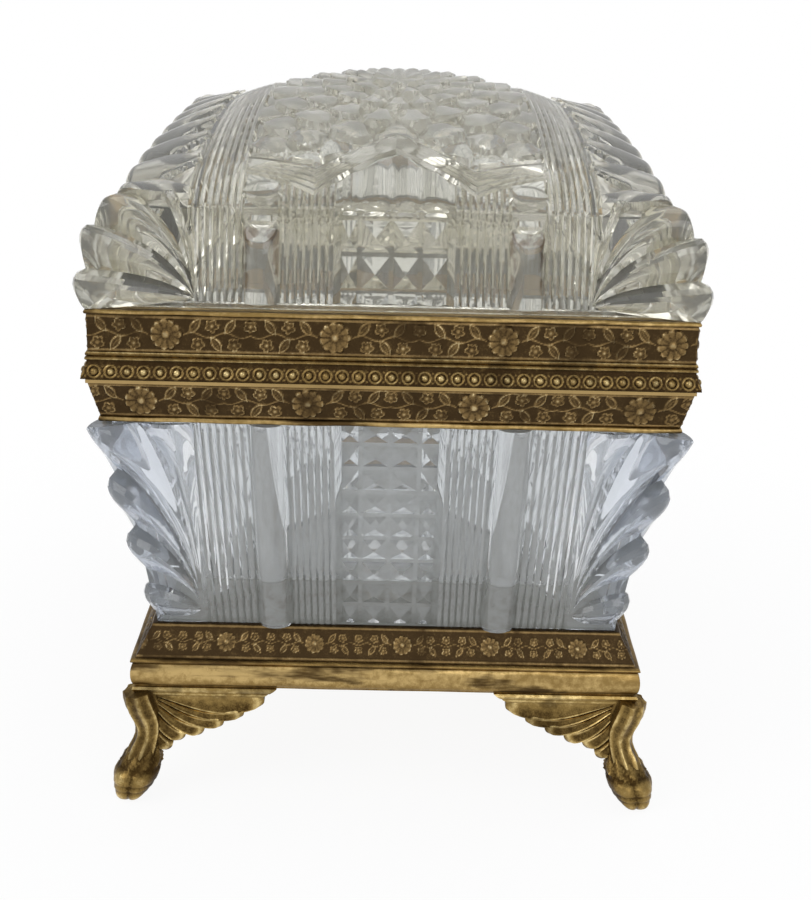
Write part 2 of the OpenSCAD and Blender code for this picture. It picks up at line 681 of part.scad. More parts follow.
module lid_bead_row() {
    back = lid_frieze_inset + frieze_t;
    color(pale_gilt) difference() {
        mitred_frame([
            [back, lid_z], [-bead_flare, lid_z], [-bead_flare + 0.1, lid_z + 0.5],
            [lid_frieze_inset - 0.2, lid_z + bead_h - 0.3], [lid_frieze_inset - 0.2, lid_z + bead_h],
            [lid_frieze_inset - 0.5, lid_z + bead_h], [lid_frieze_inset - 0.5, lid_z + bead_h + 0.6],
            [lid_frieze_inset - 0.1, lid_z + bead_h + 0.75],
            [lid_frieze_inset - 0.4, lid_z + bead_h + 0.9],
            [lid_frieze_inset - 0.4, lid_z + bead_h + fillet_h], [back, lid_z + bead_h + fillet_h]
        ]);
        hinge_pocket(lid_z - past, lid_z + leaf_t);
        barrel_clearance();
    }
}

module lid_frieze() {
    low = lid_z + bead_h + fillet_h;
    high = lid_rim_top - top_wire_h;
    color(gilt) mitred_frame([
        [lid_frieze_inset + frieze_t, low], [lid_frieze_inset, low],
        [lid_frieze_inset, high], [lid_frieze_inset + frieze_t, high]
    ]);
}

module lid_top_wire() {
    low = lid_rim_top - top_wire_h;
    back = lid_frieze_inset + frieze_t;
    color(pale_gilt) mitred_frame([
        [back, low], [lid_frieze_inset - 0.3, low], [lid_frieze_inset - 0.4, low + 0.4],
        [lid_frieze_inset - 0.1, lid_rim_top], [back, lid_rim_top]
    ]);
}

// The hinge axis lies midway between the rims, just outside them
axis_y = box_w / 2 + 1.1;
axis_z = rim_top + rim_gap / 2;
knuckle_l = hinge_l / knuckles;
pin_head = 0.5;

// Room for the barrel in the rims
module barrel_clearance() {
    half = hinge_l / 2 + pin_head + ease;
    translate([-half, axis_y - knuckle_d / 2 - ease, axis_z - knuckle_d / 2 - ease])
        cube([2 * half, knuckle_d + past, knuckle_d + 2 * ease]);
}

// A shallow pocket for one leaf
module hinge_pocket(low, high) {
    translate([-hinge_l / 2 - ease, axis_y - knuckle_d / 2 - leaf_w, low])
        cube([hinge_l + 2 * ease, leaf_w + knuckle_d, high - low]);
}

// Every second knuckle, from the given one, on a leaf at the given height
module hinge_leaf(first, low) {
    color(pale_gilt) difference() {
        union() {
            translate([-hinge_l / 2, axis_y - knuckle_d / 2 - leaf_w + slack, low])
                cube([hinge_l, leaf_w - ease, leaf_t]);
            for (k = [first:2:knuckles - 1])
                translate([-hinge_l / 2 + k * knuckle_l + slack, axis_y, axis_z]) {
                    rotate([0, 90, 0]) cylinder(h = knuckle_l - 2 * slack, d = knuckle_d, $fn = 48);
                    translate([0, -knuckle_d / 2 - 2 * ease, low - axis_z])
                        cube([knuckle_l - 2 * slack, knuckle_d / 2 + 2 * ease, leaf_t]);
                }
        }
        translate([-hinge_l / 2 - past, axis_y, axis_z])
            rotate([0, 90, 0]) cylinder(h = hinge_l + 2 * past, r = pin_d / 2 + slack, $fn = 48);
    }
}

module hinge_leaf_body() {
    hinge_leaf(0, rim_top - leaf_t);
}

module hinge_leaf_lid() {
    hinge_leaf(1, lid_z);
}

module hinge_pin() {
    color(steel) translate([-hinge_l / 2, axis_y, axis_z]) rotate([0, 90, 0]) {
        translate([0, 0, -pin_head]) cylinder(h = hinge_l + 2 * pin_head, d = pin_d, $fn = 48);
        for (z = [-pin_head, hinge_l - slack])
            translate([0, 0, z]) cylinder(h = pin_head + slack, d = pin_d + 0.8, $fn = 48);
    }
}

// Keyhole: a round hole over a narrow slot
module keyhole_cut() {
    translate([0, -hy(0) - past, key_z]) {
        rotate([-90, 0, 0]) cylinder(h = keyhole_cut_l, r = keyhole_r, $fn = 32);
        translate([-keyhole_r / 2, 0, -2.4]) cube([keyhole_r, keyhole_cut_l, 2.4]);
    }
}
key_z = lock_low + 3.8;
keyhole_cut_l = lock_out + lock_t + hy(0) + 2 * past;

// Slots through a collar's flange for the staples, with room all round them
staple_t = 1.2;
staple_w = 4;
staple_plate_t = 0.5;
module staple_slots(low, room) {
    for (s = [-1, 1])
        translate([s * staple_x - staple_t / 2 - room, lock_y - staple_w / 2 - room, low - past])
            cube([staple_t + 2 * room, staple_w + 2 * room, flange_t + 2 * past]);
}

// The lock case is an open-topped box held up under the collar's flange
module lock_case() {
    color(gilt) difference() {
        translate([-lock_half, lock_out, lock_low])
            cube([lock_l, lock_in - lock_out, lock_high - lock_low]);
        translate([-lock_half + lock_t, lock_out + lock_t, lock_low + lock_t])
            cube([lock_l - 2 * lock_t, lock_in - lock_out - 2 * lock_t, lock_high]);
        keyhole_cut();
    }
}

// The pin that a hollow key turns on
module lock_key_pin() {
    color(steel) translate([0, lock_out + 2 * lock_t, key_z])
        rotate([-90, 0, 0]) cylinder(h = lock_in - lock_out - 3 * lock_t, r = 0.6, $fn = 24);
}

// Heights of the bolt's bar and noses
bar_z = lock_low + lock_t + slack;
bar_h = 1.5;
nose_h = 1.4;
nose_z = lock_high - 1.1 - nose_h;
nose_w = 2.2;

// The bolt carries two upright arms, and a nose on each points at a staple
module lock_bolt() {
    reach = staple_t / 2 + 0.5;
    nose_l = bolt_travel - 0.3;
    color(pale_gilt) difference() {
        union() {
            translate([-staple_x - reach - nose_l - 1, lock_y - 1.6, bar_z])
                cube([2 * staple_x + nose_l + 1, 3.2, bar_h]);
            for (x = [-staple_x, staple_x]) {
                translate([x - reach - nose_l - 1, lock_y - nose_w / 2, bar_z])
                    cube([1, nose_w, nose_z + nose_h - bar_z]);
                translate([x - reach - nose_l - 1, lock_y - nose_w / 2, nose_z])
                    cube([nose_l + 1, nose_w, nose_h]);
            }
        }
        translate([-1.2, lock_y - 3, bar_z - past]) cube([2.4, 6, past + 0.7]);
    }
}

// A bowed leaf that bears on the bolt and holds it where it is left
module lock_spring() {
    chord = 14;
    leaf = 0.25;
    rise = lock_y - 1.6 - slack - (lock_out + lock_t) - leaf;
    bow_r = (chord * chord / 4 + rise * rise) / (2 * rise);
    half = asin(chord / 2 / bow_r);
    arc = [for (k = [-8:8]) k / 8 * half];
    color(steel) translate([0, lock_out + lock_t - bow_r + rise, bar_z + 0.2])
        linear_extrude(height = 1)
            polygon(concat(
                [for (a = arc) (bow_r + leaf) * [sin(a), cos(a)]],
                [for (a = arc) bow_r * [-sin(a), cos(a)]]));
}

// Two eyes on a plate under the lid rim
module lock_staple() {
    eye_low = nose_z - 1.2;
    color(pale_gilt) {
        for (s = [-1, 1])
            difference() {
                translate([s * staple_x - staple_t / 2, lock_y - staple_w / 2, eye_low])
                    cube([staple_t, staple_w, lid_z + flange_t - eye_low]);
                translate([s * staple_x - staple_t, lock_y - nose_w / 2 - 0.3, nose_z - 0.3])
                    cube([2 * staple_t, nose_w + 0.6, nose_h + 0.6]);
            }
        translate([-staple_x - 2, lock_y - staple_w / 2, lid_z + flange_t])
            cube([2 * staple_x + 4, staple_w, staple_plate_t]);
    }
}

// Plan places of the foot screws, and the foot's own corner
function screw_place(z) = [hx(base_inset + 7.4), hy(base_inset + 7.4), z];
function foot_point(s, z) = [hx(base_inset + s), hy(base_inset + s), z];

// The chain of balls that a cabriole leg runs through: [inset, height, radius]
leg_chain = [[3.2, foot_h - 2.4, 3], [4.3, foot_h - 7.2, 2.5], [3.6, foot_h - 11.2, 2.2],
             [1, 7.6, 3.9], [0.1, claw_r - 0.8, claw_r]];

// The block in each foot's corner that its screw goes through
pad_t = 2.6;
pad_w = 8;

// Feathers of one bracket wing: [distance along the base, drop of the tip]
feather_tips = [[8.4, 10.6], [12.6, 9.3], [16.6, 7.4], [20.4, 5.6], [24.2, 3.7]];

module leg() {
    for (i = [0:len(leg_chain) - 2])
        hull()
            for (p = [leg_chain[i], leg_chain[i + 1]])
                translate(foot_point(p[0], p[1])) sphere(p[2], $fn = 8);
}

// One wing along the +X end of the base
module wing() {
    for (tip = feather_tips)
        hull() {
            translate([hx(base_inset + 2.2), hy(base_inset + 2.6), foot_h - 3.2])
                sphere(1.2, $fn = 4);
            translate([hx(base_inset + 2.2), hy(base_inset + tip[0] * bracket_l / 27), foot_h - tip[1]])
                sphere(1.1, $fn = 4);
        }
    edge = [for (tip = feather_tips) [hy(base_inset + tip[0] * bracket_l / 27), foot_h - tip[1]]];
    translate([hx(base_inset + 2.9), 0, 0]) rotate([90, 0, 90]) linear_extrude(1.2)
        polygon(concat([[hy(base_inset + bracket_l - 2), foot_h - 0.5],
                        [hy(base_inset + 3), foot_h - 0.5], [hy(base_inset + 4), foot_h - 11]], edge));
    for (step = [0, 1])
        translate([hx(base_inset + 3.6), hy(base_inset + bracket_l - 1.5 * step), foot_h - 1 - step])
            cube([3.2 - step * 0.6, bracket_l - 1.5 * step, 1]);
}

module foot() {
    color(pale_gilt) difference() {
        union() {
            leg();
            wing();
            swapped_wing();
            translate(screw_place(foot_h - pad_t) - [pad_w / 2, pad_w / 2, 0]) cube([pad_w, pad_w, pad_t]);
        }
        translate([0, 0, -foot_h]) cube([box_l, box_w, foot_h]);
        translate([0, 0, foot_h]) cube([box_l, box_w, foot_h]);
        translate(screw_place(foot_h - pad_t - past)) cylinder(h = pad_t + 2 * past, r = screw_r + 3 * slack, $fn = 24);
    }
}

// The other wing, along the long side of the same corner
module swapped_wing() {
    shift = (box_l - box_w) / 2;
    multmatrix([[0, 1, 0, shift], [1, 0, 0, -shift], [0, 0, 1, 0]]) wing();
}

module foot_back_right() { foot(); }
module foot_back_left() { mirror([1, 0, 0]) foot(); }
module foot_front_right() { mirror([0, 1, 0]) foot(); }
module foot_front_left() { mirror([1, 0, 0]) mirror([0, 1, 0]) foot(); }

// Cheese-headed screws that hold the feet, put in from below
module foot_screws() {
    head_t = 1.2 * screw_r;
    color(steel) each_corner() translate(screw_place(foot_h - pad_t)) difference() {
        union() {
            translate([0, 0, -head_t]) cylinder(h = head_t, r = 2 * screw_r, $fn = 32);
            cylinder(h = pad_t + plate_t, r = screw_r, $fn = 32);
        }
        translate([-3 * screw_r, -screw_r / 4, -head_t - past]) cube([6 * screw_r, screw_r / 2, past + head_t / 2]);
    }
}

foot_front_left();
foot_front_right();
foot_back_left();
foot_back_right();
foot_screws();
base_plate();
base_moulding();
base_frieze();
base_bedding();
glass_body();
body_cement();
body_collar();
body_frieze();
body_lower_wire();
lock_case();
lock_key_pin();
lock_spring();
lock_bolt();
lock_staple();
hinge_leaf_body();
hinge_pin();
hinge_leaf_lid();
lid_collar();
lid_frieze();
lid_top_wire();
lid_bead_row();
lid_cement();
glass_lid();
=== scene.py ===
"""Looks for the cut-glass casket: cut glass, stamped gilt strips, cast feet."""

import math

import bmesh
import bpy
import numpy as np
from mathutils import Matrix, Vector


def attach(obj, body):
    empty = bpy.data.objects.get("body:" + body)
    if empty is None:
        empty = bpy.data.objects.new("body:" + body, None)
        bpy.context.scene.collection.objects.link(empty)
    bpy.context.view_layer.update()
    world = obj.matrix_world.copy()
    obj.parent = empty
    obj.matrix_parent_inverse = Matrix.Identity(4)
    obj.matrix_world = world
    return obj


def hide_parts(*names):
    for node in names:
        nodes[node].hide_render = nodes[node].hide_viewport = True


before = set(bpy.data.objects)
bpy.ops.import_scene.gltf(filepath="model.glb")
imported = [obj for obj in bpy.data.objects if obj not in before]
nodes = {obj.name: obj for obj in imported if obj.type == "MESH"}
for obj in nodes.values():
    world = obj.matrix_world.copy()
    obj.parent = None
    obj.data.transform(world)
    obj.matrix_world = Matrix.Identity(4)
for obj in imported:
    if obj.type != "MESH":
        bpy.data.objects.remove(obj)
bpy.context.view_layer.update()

MM = 0.001

# Sizes in millimetres, the same as in the part's source
BOX_L, BOX_W = 136.4, 104.0
GLASS_Z, FLOOR_Z, RIM_Z, RIM_TOP = 34.0, 41.0, 75.0, 83.4
SEAT_Z, MOULDING_Z, FOOT_H = 30.6, 28.3, 22.6
LID_Z, LID_RIM_TOP, SHOULDER_Z = 83.7, 95.6, 112.0
DOME_RISE = 15.6
FLANGE_T = 1.2
WALL_LOW, WALL_HIGH, WALL_T = 9.7, 3.6, 6.4
LID_LOW, LID_HIGH = 3.1, 5.3
LIP_INSET, MOUTH_INSET = 4.7, 11.2
BASE_INSET = 4.9
FAN_ROOT, FLUTE_FROM, FLUTE_TO = 18.4, 16.6, 11.4
LOCK_HALF, LOCK_NOTCH = 12.7, 0.2


def hx(inset):
    """Half the length of the box at an inset from the body rim's edge."""
    return BOX_L / 2 - inset


def hy(inset):
    """Half the width of the box at an inset from the body rim's edge."""
    return BOX_W / 2 - inset


def mix(a, b, s):
    return a + (b - a) * s


# Shader expressions


class Sock:
    """A shader value that can be used in Python expressions."""

    def __init__(self, mat, socket):
        self.mat, self.socket = mat, socket

    def _math(self, operation, *values):
        return self.mat.node("Math", values, operation=operation)

    def __add__(self, other):
        return self._math("ADD", self, other)

    def __sub__(self, other):
        return self._math("SUBTRACT", self, other)

    def __rsub__(self, other):
        return self._math("SUBTRACT", other, self)

    def __mul__(self, other):
        return self._math("MULTIPLY", self, other)

    __radd__ = __add__
    __rmul__ = __mul__

    def clamp(self):
        return self.mat.node("Math", (self, 0.0), operation="ADD", use_clamp=True)

    def size(self):
        """The value without its sign."""
        return self._math("ABSOLUTE", self)


class Finish:
    """A material, or the world if it is given, built by expressions on its nodes."""

    def __init__(self, name, world=None):
        self.owner = world or bpy.data.materials.new(name)
        self.owner.use_nodes = True
        self.tree = self.owner.node_tree
        self.tree.nodes.clear()

    def node(self, kind, values=(), output=0, **settings):
        """Adds a node. Settings are set first, then the sockets' values or links."""
        made = self.tree.nodes.new("ShaderNode" + kind)
        for key, value in settings.items():
            setattr(made, key, value)
        pairs = values.items() if isinstance(values, dict) else enumerate(values)
        for key, value in pairs:
            socket = made.inputs[key]
            if isinstance(value, Sock):
                self.tree.links.new(value.socket, socket)
            else:
                socket.default_value = value
        return Sock(self, made.outputs[output]) if made.outputs else made

    def noise(self, scale, detail=3.0, rough=0.5, distortion=0.0, vector=None):
        values = {"Scale": scale, "Detail": detail, "Roughness": rough, "Distortion": distortion}
        values["Vector"] = vector or self.place()
        return self.node("TexNoise", values)

    def place(self):
        return self.node("TexCoord", output="Object")

    def ramp(self, factor, low, high):
        """Goes from 0 at low to 1 at high, smoothly."""
        return self.node(
            "MapRange",
            {"Value": factor, "From Min": low, "From Max": high},
            interpolation_type="SMOOTHSTEP",
        )

    def past(self, place, low, high):
        """Goes from 0 to 1 between two places in millimetres."""
        return self.ramp(place, low * MM, high * MM)

    def blend(self, factor, a, b):
        """Mixes two colours."""
        return self.node("Mix", {0: factor, 6: a, 7: b}, output=2, data_type="RGBA")

    def bump(self, height, strength, distance):
        return self.node("Bump", {"Strength": strength, "Distance": distance, "Height": height})

    def surface(self, **values):
        """Ends the material in a Principled shader."""
        named = {key.replace("_", " "): value for key, value in values.items()}
        shader = self.node("BsdfPrincipled", named)
        self.node("OutputMaterial", {"Surface": shader})
        return self.owner


def colour(r, g, b):
    return (r, g, b, 1.0)


# Materials

# The lid's end pillars: their middle beside the centre line, and the height of their heads
PILLAR_Y, PILLAR_HEAD_Z = 22.4, 108.3
# The first colour is that of the painted dark reflections on the lid
REFLECTION_OLIVE, GABLE_TINT, BROWN = colour(0.72, 0.70, 0.59), colour(0.68, 0.66, 0.565), colour(0.15, 0.08, 0.035)
DUST = colour(0.42, 0.38, 0.32)


def lid_reflections_and_stains(mat, body, x, y):
    """Painted olive patches that stand in for dark reflections, a deeper tone in the gables and brown lines
    round the end pillars.
    """
    z = mat.node("SeparateXYZ", (mat.place(),), output=2)
    # The olive patches over the top are painted dark reflections
    painted_reflection = mat.ramp(mat.noise(130, 2.0, distortion=0.8), 0.44, 0.62) * mat.past(z, 98, 112)
    body = mat.blend(painted_reflection, body, REFLECTION_OLIVE)
    gable = mat.past(z, 111, 113) * (1 - mat.past(z, 119, 122))
    gable = gable * mat.past(x, hx(26), hx(16)) * (1 - mat.past(y, 11, 15))
    body = mat.blend(gable, body, GABLE_TINT)
    aside, above = (y - PILLAR_Y * MM).size(), (z - PILLAR_HEAD_Z * MM).size()
    jamb = mat.past(aside, 1.6, 2.3) * mat.past(z, 97, 102) * (1 - mat.past(z, 108, 109.4))
    outline = (jamb + 1 - mat.past(above, 0.6, 1.3)) * (1 - mat.past(aside, 2.8, 3.2))
    worn_away = mat.ramp(mat.noise(420, 3.0), 0.38, 0.56)
    stain = outline * worn_away * mat.past(x, hx(7), hx(6))
    return mat.blend(stain.clamp() * 0.85, body, BROWN)


def cut_glass(name, tint, thick_tint, clear, stained=False):
    """Clear glass with a slight tint and haze, faint waves and fine dust in the cuts.

    The thick corner shells are deeper in colour. stained is for the lid, and adds its painted reflections,
    gable tone and brown lines.
    """
    mat = Finish(name)
    waves = mat.noise(140, 2.0)
    specks = mat.noise(1100, 4.0, 0.7)
    dirt = mat.ramp(specks, 0.6, 0.76) * mat.ramp(mat.noise(90), 0.46, 0.66)
    out = mat.node("VectorMath", (mat.place(),), operation="ABSOLUTE")
    x, y = (mat.node("SeparateXYZ", (out,), output=k) for k in (0, 1))
    thick = mat.past(x, hx(16), hx(8)) * mat.past(y, hy(20), hy(10))
    body = mat.blend(thick, tint, thick_tint)
    body = mat.blend(dirt * 0.35, body, DUST)
    if stained:
        body = lid_reflections_and_stains(mat, body, x, y)
    return mat.surface(
        Base_Color=body,
        Roughness=dirt * 0.3 + 0.03,
        IOR=1.5,
        Transmission_Weight=clear,
        Specular_IOR_Level=0.5,
        Normal=mat.bump(waves, 0.06, 0.0004),
    )


def gilt(name, ground, relief, worn, tarnish_share=0.6, streaks=(1, 1, 1)):
    """Old gilt brass. The relief attribute says where it is rubbed bright.

    ground, relief and worn are its colours from the hollows to the crowns.
    """
    mat = Finish(name)
    drawn = mat.node("VectorMath", (mat.place(), streaks), operation="MULTIPLY")
    broad = mat.noise(38, 4.0, 0.6, vector=drawn)
    fine = mat.noise(700, 4.0, 0.65)
    grain = mat.noise(3400, 2.0, 0.5)
    height = mat.node("Attribute", output="Fac", attribute_name="relief")
    height = (height * 0.88 + 0.07 + (fine - 0.5) * 0.62 + (grain - 0.5) * 0.4).clamp()
    tone = mat.blend(mat.ramp(height, 0.05, 0.6), ground, relief)
    bright = mat.ramp(height, 0.5, 0.95) * mat.ramp(broad + (fine - 0.5) * 0.5, 0.36, 0.6)
    tone = mat.blend(bright, tone, worn)
    tarnish = mat.ramp(mat.noise(120, 4.0, 0.6, vector=drawn) + (broad - 0.5) * 0.6, 0.5, 0.66)
    tone = mat.blend(tarnish * tarnish_share, tone, ground)
    return mat.surface(
        Base_Color=tone,
        Metallic=1.0,
        Roughness=0.5 - height * 0.2 + tarnish * 0.12,
        Normal=mat.bump(grain + fine, 0.35, 0.00008),
    )


def plain_metal(name, base, rough):
    """Sheet brass or steel with drawn lines and dull patches."""
    mat = Finish(name)
    patches = mat.noise(70, 5.0, 0.6)
    grain = mat.noise(3600, 3.0)
    dark = tuple(c * 0.45 for c in base[:3]) + (1.0,)
    return mat.surface(
        Base_Color=mat.blend(mat.ramp(patches, 0.4, 0.75) * 0.5, base, dark),
        Metallic=1.0,
        Roughness=rough + (patches - 0.5) * 0.2,
        Normal=mat.bump(grain, 0.2, 0.00004),
    )


def old_plaster(name, clean, stained, glow=0.0):
    """Dry cement with pits and stains.

    glow stands in for the light that thick glass leads down to it.
    """
    mat = Finish(name)
    stains = mat.ramp(mat.noise(130, 4.0, 0.6), 0.42, 0.7)
    grain = mat.noise(1800, 4.0, 0.6)
    tone = mat.blend(stains, clean, stained)
    return mat.surface(
        Base_Color=tone,
        Emission_Color=tone,
        Emission_Strength=glow,
        Roughness=0.9,
        Normal=mat.bump(grain, 0.5, 0.0002),
    )


BODY_GLASS = cut_glass("body_cut_glass", colour(0.90, 0.92, 0.934), colour(0.67, 0.72, 0.81), 0.84)
LID_GLASS = cut_glass("lid_cut_glass", colour(0.85, 0.83, 0.735), colour(0.82, 0.80, 0.70), 0.86, True)
STAMPED = gilt(
    "stamped_gilt_strip", colour(0.052, 0.032, 0.014), colour(0.215, 0.14, 0.056),
    colour(0.52, 0.41, 0.22), tarnish_share=0.85,
)
BEADED = gilt(
    "beaded_gilt_row", colour(0.038, 0.022, 0.009), colour(0.23, 0.15, 0.052), colour(0.64, 0.50, 0.24)
)
PALE = gilt(
    "worn_gilt_moulding", colour(0.060, 0.034, 0.012), colour(0.27, 0.175, 0.058),
    colour(0.54, 0.38, 0.155), tarnish_share=0.95, streaks=(0.4, 0.4, 2.2),
)
CAST = gilt(
    "cast_gilt_feet", colour(0.050, 0.028, 0.008), colour(0.28, 0.185, 0.060), colour(0.66, 0.50, 0.22)
)
SHEET = plain_metal("dull_sheet_brass", colour(0.42, 0.29, 0.12), 0.42)
STEEL = plain_metal("dull_steel", colour(0.36, 0.34, 0.32), 0.45)
PLASTER = old_plaster("old_plaster", colour(0.86, 0.84, 0.78), colour(0.66, 0.60, 0.50))
# Plaster seen under the glass, with a faint painted glow that stands in for the light the thick glass leads
# down to it
GLOWING_BEDDED = old_plaster(
    "plaster_under_glass_painted_glow", colour(0.88, 0.90, 0.86), colour(0.70, 0.71, 0.63), glow=0.05
)


# Mesh helpers


def tidy_mesh(piece, weld=0.000004):
    """Welds shared points and turns all faces outwards."""
    work = bmesh.new()
    work.from_mesh(piece.data)
    bmesh.ops.remove_doubles(work, verts=work.verts, dist=weld)
    bmesh.ops.dissolve_degenerate(work, edges=work.edges, dist=weld / 4)
    bmesh.ops.recalc_face_normals(work, faces=work.faces)
    work.to_mesh(piece.data)
    work.free()


def finish_piece(piece, material, body, node, smooth_angle):
    """Gives a piece its finish and its CAD body, in the place of a CAD node."""
    piece.data.materials.clear()
    piece.data.materials.append(material)
    smooth_by_angle(piece.data, smooth_angle)
    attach(piece, body)
    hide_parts(node)


def smooth_by_angle(mesh, degrees):
    """Smooth shading with creases kept sharp above an angle."""
    work = bmesh.new()
    work.from_mesh(mesh)
    limit = math.radians(degrees)
    for face in work.faces:
        face.smooth = True
    for edge in work.edges:
        edge.smooth = len(edge.link_faces) == 2 and edge.calc_face_angle(0.0) < limit
    work.to_mesh(mesh)
    work.free()


def apply_boolean(piece, tools, how):
    """Unites or cuts closed solids with a piece, and removes the tools."""
    for tool in tools:
        change = piece.modifiers.new("cut", "BOOLEAN")
        change.operation, change.solver, change.object = how, "MANIFOLD", tool
    done = bpy.data.meshes.new_from_object(
        piece.evaluated_get(bpy.context.evaluated_depsgraph_get())
    )
    piece.modifiers.clear()
    piece.data = done
    for tool in tools:
        bpy.data.objects.remove(tool)


def loose_solid(name, verts, faces, tones=None):
    """An object for closed solids given in millimetres. tones colour the gilding."""
    mesh = bpy.data.meshes.new(name)
    mesh.from_pydata((np.asarray(verts, float) * MM).tolist(), [], faces)
    if tones is not None:
        relief = mesh.attributes.new("relief", "FLOAT", "POINT")
        relief.data.foreach_set("value", np.asarray(tones, "f"))
    piece = bpy.data.objects.new(name, mesh)
    bpy.context.scene.collection.objects.link(piece)
    tidy_mesh(piece)
    return piece


def box_solid(low, high):
    """A rectangular block as (points, faces)."""
    verts = [(x, y, z) for x in (low[0], high[0]) for y in (low[1], high[1]) for z in (low[2], high[2])]
    faces = [(0, 1, 3, 2), (4, 6, 7, 5), (0, 4, 5, 1), (2, 3, 7, 6), (0, 2, 6, 4), (1, 5, 7, 3)]
    return verts, faces


def tube_faces(rows, n, joined=False):
    """Faces between rows of n points. joined puts the last row next to the first."""
    return [
        (r * n + i, r * n + (i + 1) % n, (r + 1) % rows * n + (i + 1) % n, (r + 1) % rows * n + i)
        for r in range(rows if joined else rows - 1) for i in range(n)
    ]


# Cutting on the upright faces

REED_DEEP = 0.55


def reed_lines(start, end, count):
    """Rounded reeds between two places, as [place, depth] lines from groove to groove."""
    step = (end - start) / count
    profile = ((0.0, 1.0), (0.2, 0.3), (0.5, 0.0), (0.8, 0.3))
    lines = [
        (start + (k + part) * step, share * REED_DEEP) for k in range(count) for part, share in profile
    ]
    return lines + [(end, REED_DEEP)]


def pillar_lines(start, end):
    """A half-round pillar between two places, as [place, depth] lines for a rise of 1."""
    mid, half = (start + end) / 2, (end - start) / 2
    turns = np.radians(np.linspace(-90, 90, 17))
    return [(mid + half * math.sin(t), -math.cos(t)) for t in turns]


def diamond_cells(edges, groove, parts):
    """Lines through a row of diamonds, as [place, share from -1 to 1 across its diamond]."""
    lines = []
    for low, high in zip(edges[:-1], edges[1:]):
        mid, half = (low + high) / 2, (high - low - groove) / 2
        lines += [(mid + (2 * k / parts - 1) * half, 2 * k / parts - 1) for k in range(parts + 1)]
    return lines


def face_lines(edges, groove, parts, inner, pillar, outer):
    """All lines across one face: [place, kind, value], from its left to its right.

    The diamonds lie between the edges. Beside them come inner reeds, a pillar and outer
    reeds, each from a start to an end.
    """
    lines = [(place, "diamond", share) for place, share in diamond_cells(edges, groove, parts)]
    for side in (-1, 1):
        for start, end, count in (inner, outer):
            lines += [(side * p, "reed", d) for p, d in reed_lines(start, end, count)]
        lines += [(side * p, "pillar", d) for p, d in pillar_lines(*pillar)]
    return sorted(lines, key=lambda line: line[0])


class Cutting:
    """The cutting on the four upright faces of one glass piece.

    ends and sides are the lines across an end and a long face, and corners is the number
    of points on each side of a corner. low and high are the inset and the height of the
    foot and of the top. Diamond rows lie between the heights in grooves, groove is the
    width between two rows and deep their depth. spread says how far the lines draw
    together at the foot and spread at the top. rise(z) is the pillars' height.
    """

    def __init__(self, ends, sides, corners, low, high, grooves, groove, deep, spread, rise):
        self.ends, self.sides, self.corners = ends, sides, corners
        self.low, self.high, self.grooves, self.groove = low, high, grooves, groove
        self.deep, self.spread, self.rise = deep, spread, rise

    def share(self, z):
        """Share from -1 to 1 up the diamond row that a height lies in."""
        for low, high in zip(self.grooves[:-1], self.grooves[1:]):
            if low <= z <= high:
                half = (high - low - self.groove) / 2
                return round(max(-1.0, min(1.0, (z - (low + high) / 2) / half)), 4)
        return 1.0

    def heights(self, parts, low, high):
        """Heights of the rings through the diamond rows."""
        rows = [z for z, _ in diamond_cells(self.grooves, self.groove, parts)]
        return [low] + [z for z in rows if low + 0.05 < z < high - 0.05] + [high]

    def depth(self, line, z):
        """Depth of the cutting at one line of a face and one height."""
        _, kind, value = line
        if kind == "diamond":
            return self.deep * max(abs(value), abs(self.share(z)))
        return value * self.rise(z) if kind == "pillar" else value

    def ring(self, z):
        """A ring of points through the cutting at one height."""
        up = (z - self.low[1]) / (self.high[1] - self.low[1])
        inset, wide = mix(self.low[0], self.high[0], up), mix(self.spread[0], self.spread[1], up)
        end_row = [(hx(inset) - self.depth(line, z), line[0] * wide) for line in self.ends]
        side_row = [(hy(inset) - self.depth(line, z), line[0] * wide) for line in self.sides]
        corner = corner_path(
            (hx(inset), self.ends[-1][0] * wide), (hx(inset), hy(inset)),
            (self.sides[-1][0] * wide, hy(inset)), 0.0, self.corners,
        )
        return closed_ring(end_row, side_row, corner, z)

    def plain(self, inset, z, radius=0.0):
        """A smooth ring at one inset, with as many points as the cut rings."""
        half_x, half_y = hx(inset), hy(inset)
        reach_x, reach_y = self.sides[-1][0], self.ends[-1][0]
        fit_x = min(1.0, (half_x - radius - 0.5) / reach_x)
        fit_y = min(1.0, (half_y - radius - 0.5) / reach_y)
        corner = corner_path(
            (half_x, reach_y * fit_y), (half_x, half_y), (reach_x * fit_x, half_y), radius, self.corners
        )
        end_row = [(half_x, line[0] * fit_y) for line in self.ends]
        side_row = [(half_y, line[0] * fit_x) for line in self.sides]
        return closed_ring(end_row, side_row, corner, z)

    def marks(self):
        """Which diamond share each point of a ring stands at, or None."""
        end, side = (
            [line[2] if line[1] == "diamond" else None for line in row] for row in (self.ends, self.sides)
        )
        corner = [None] * (2 * self.corners + 1)
        # The far faces are the near ones turned half round, so their shares turn too
        return end + corner + side[::-1] + corner + end + corner + side[::-1] + corner


def corner_path(start, corner, end, radius, count):
    """Points round one plan corner, from one face's last line to the next face's first."""
    start, corner, end = (np.array(p, float) for p in (start, corner, end))
    points = []
    for first, second, turn in ((start, end, False), (end, start, True)):
        leg = corner - first
        length = np.linalg.norm(leg)
        one, two = leg / length, (second - corner) / np.linalg.norm(second - corner)
        straight, bend = length - radius, radius * math.pi / 4
        half = []
        for k in range(1, count + 2):
            along = (straight + bend) * (1 - (1 - k / (count + 1)) ** 1.3)
            if along <= straight or radius == 0:
                half.append(first + one * min(along, length))
            else:
                angle = (along - straight) / radius
                centre = corner - one * radius + two * radius
                half.append(centre - two * radius * math.cos(angle) + one * radius * math.sin(angle))
        points += half[-2::-1] if turn else half
    return points


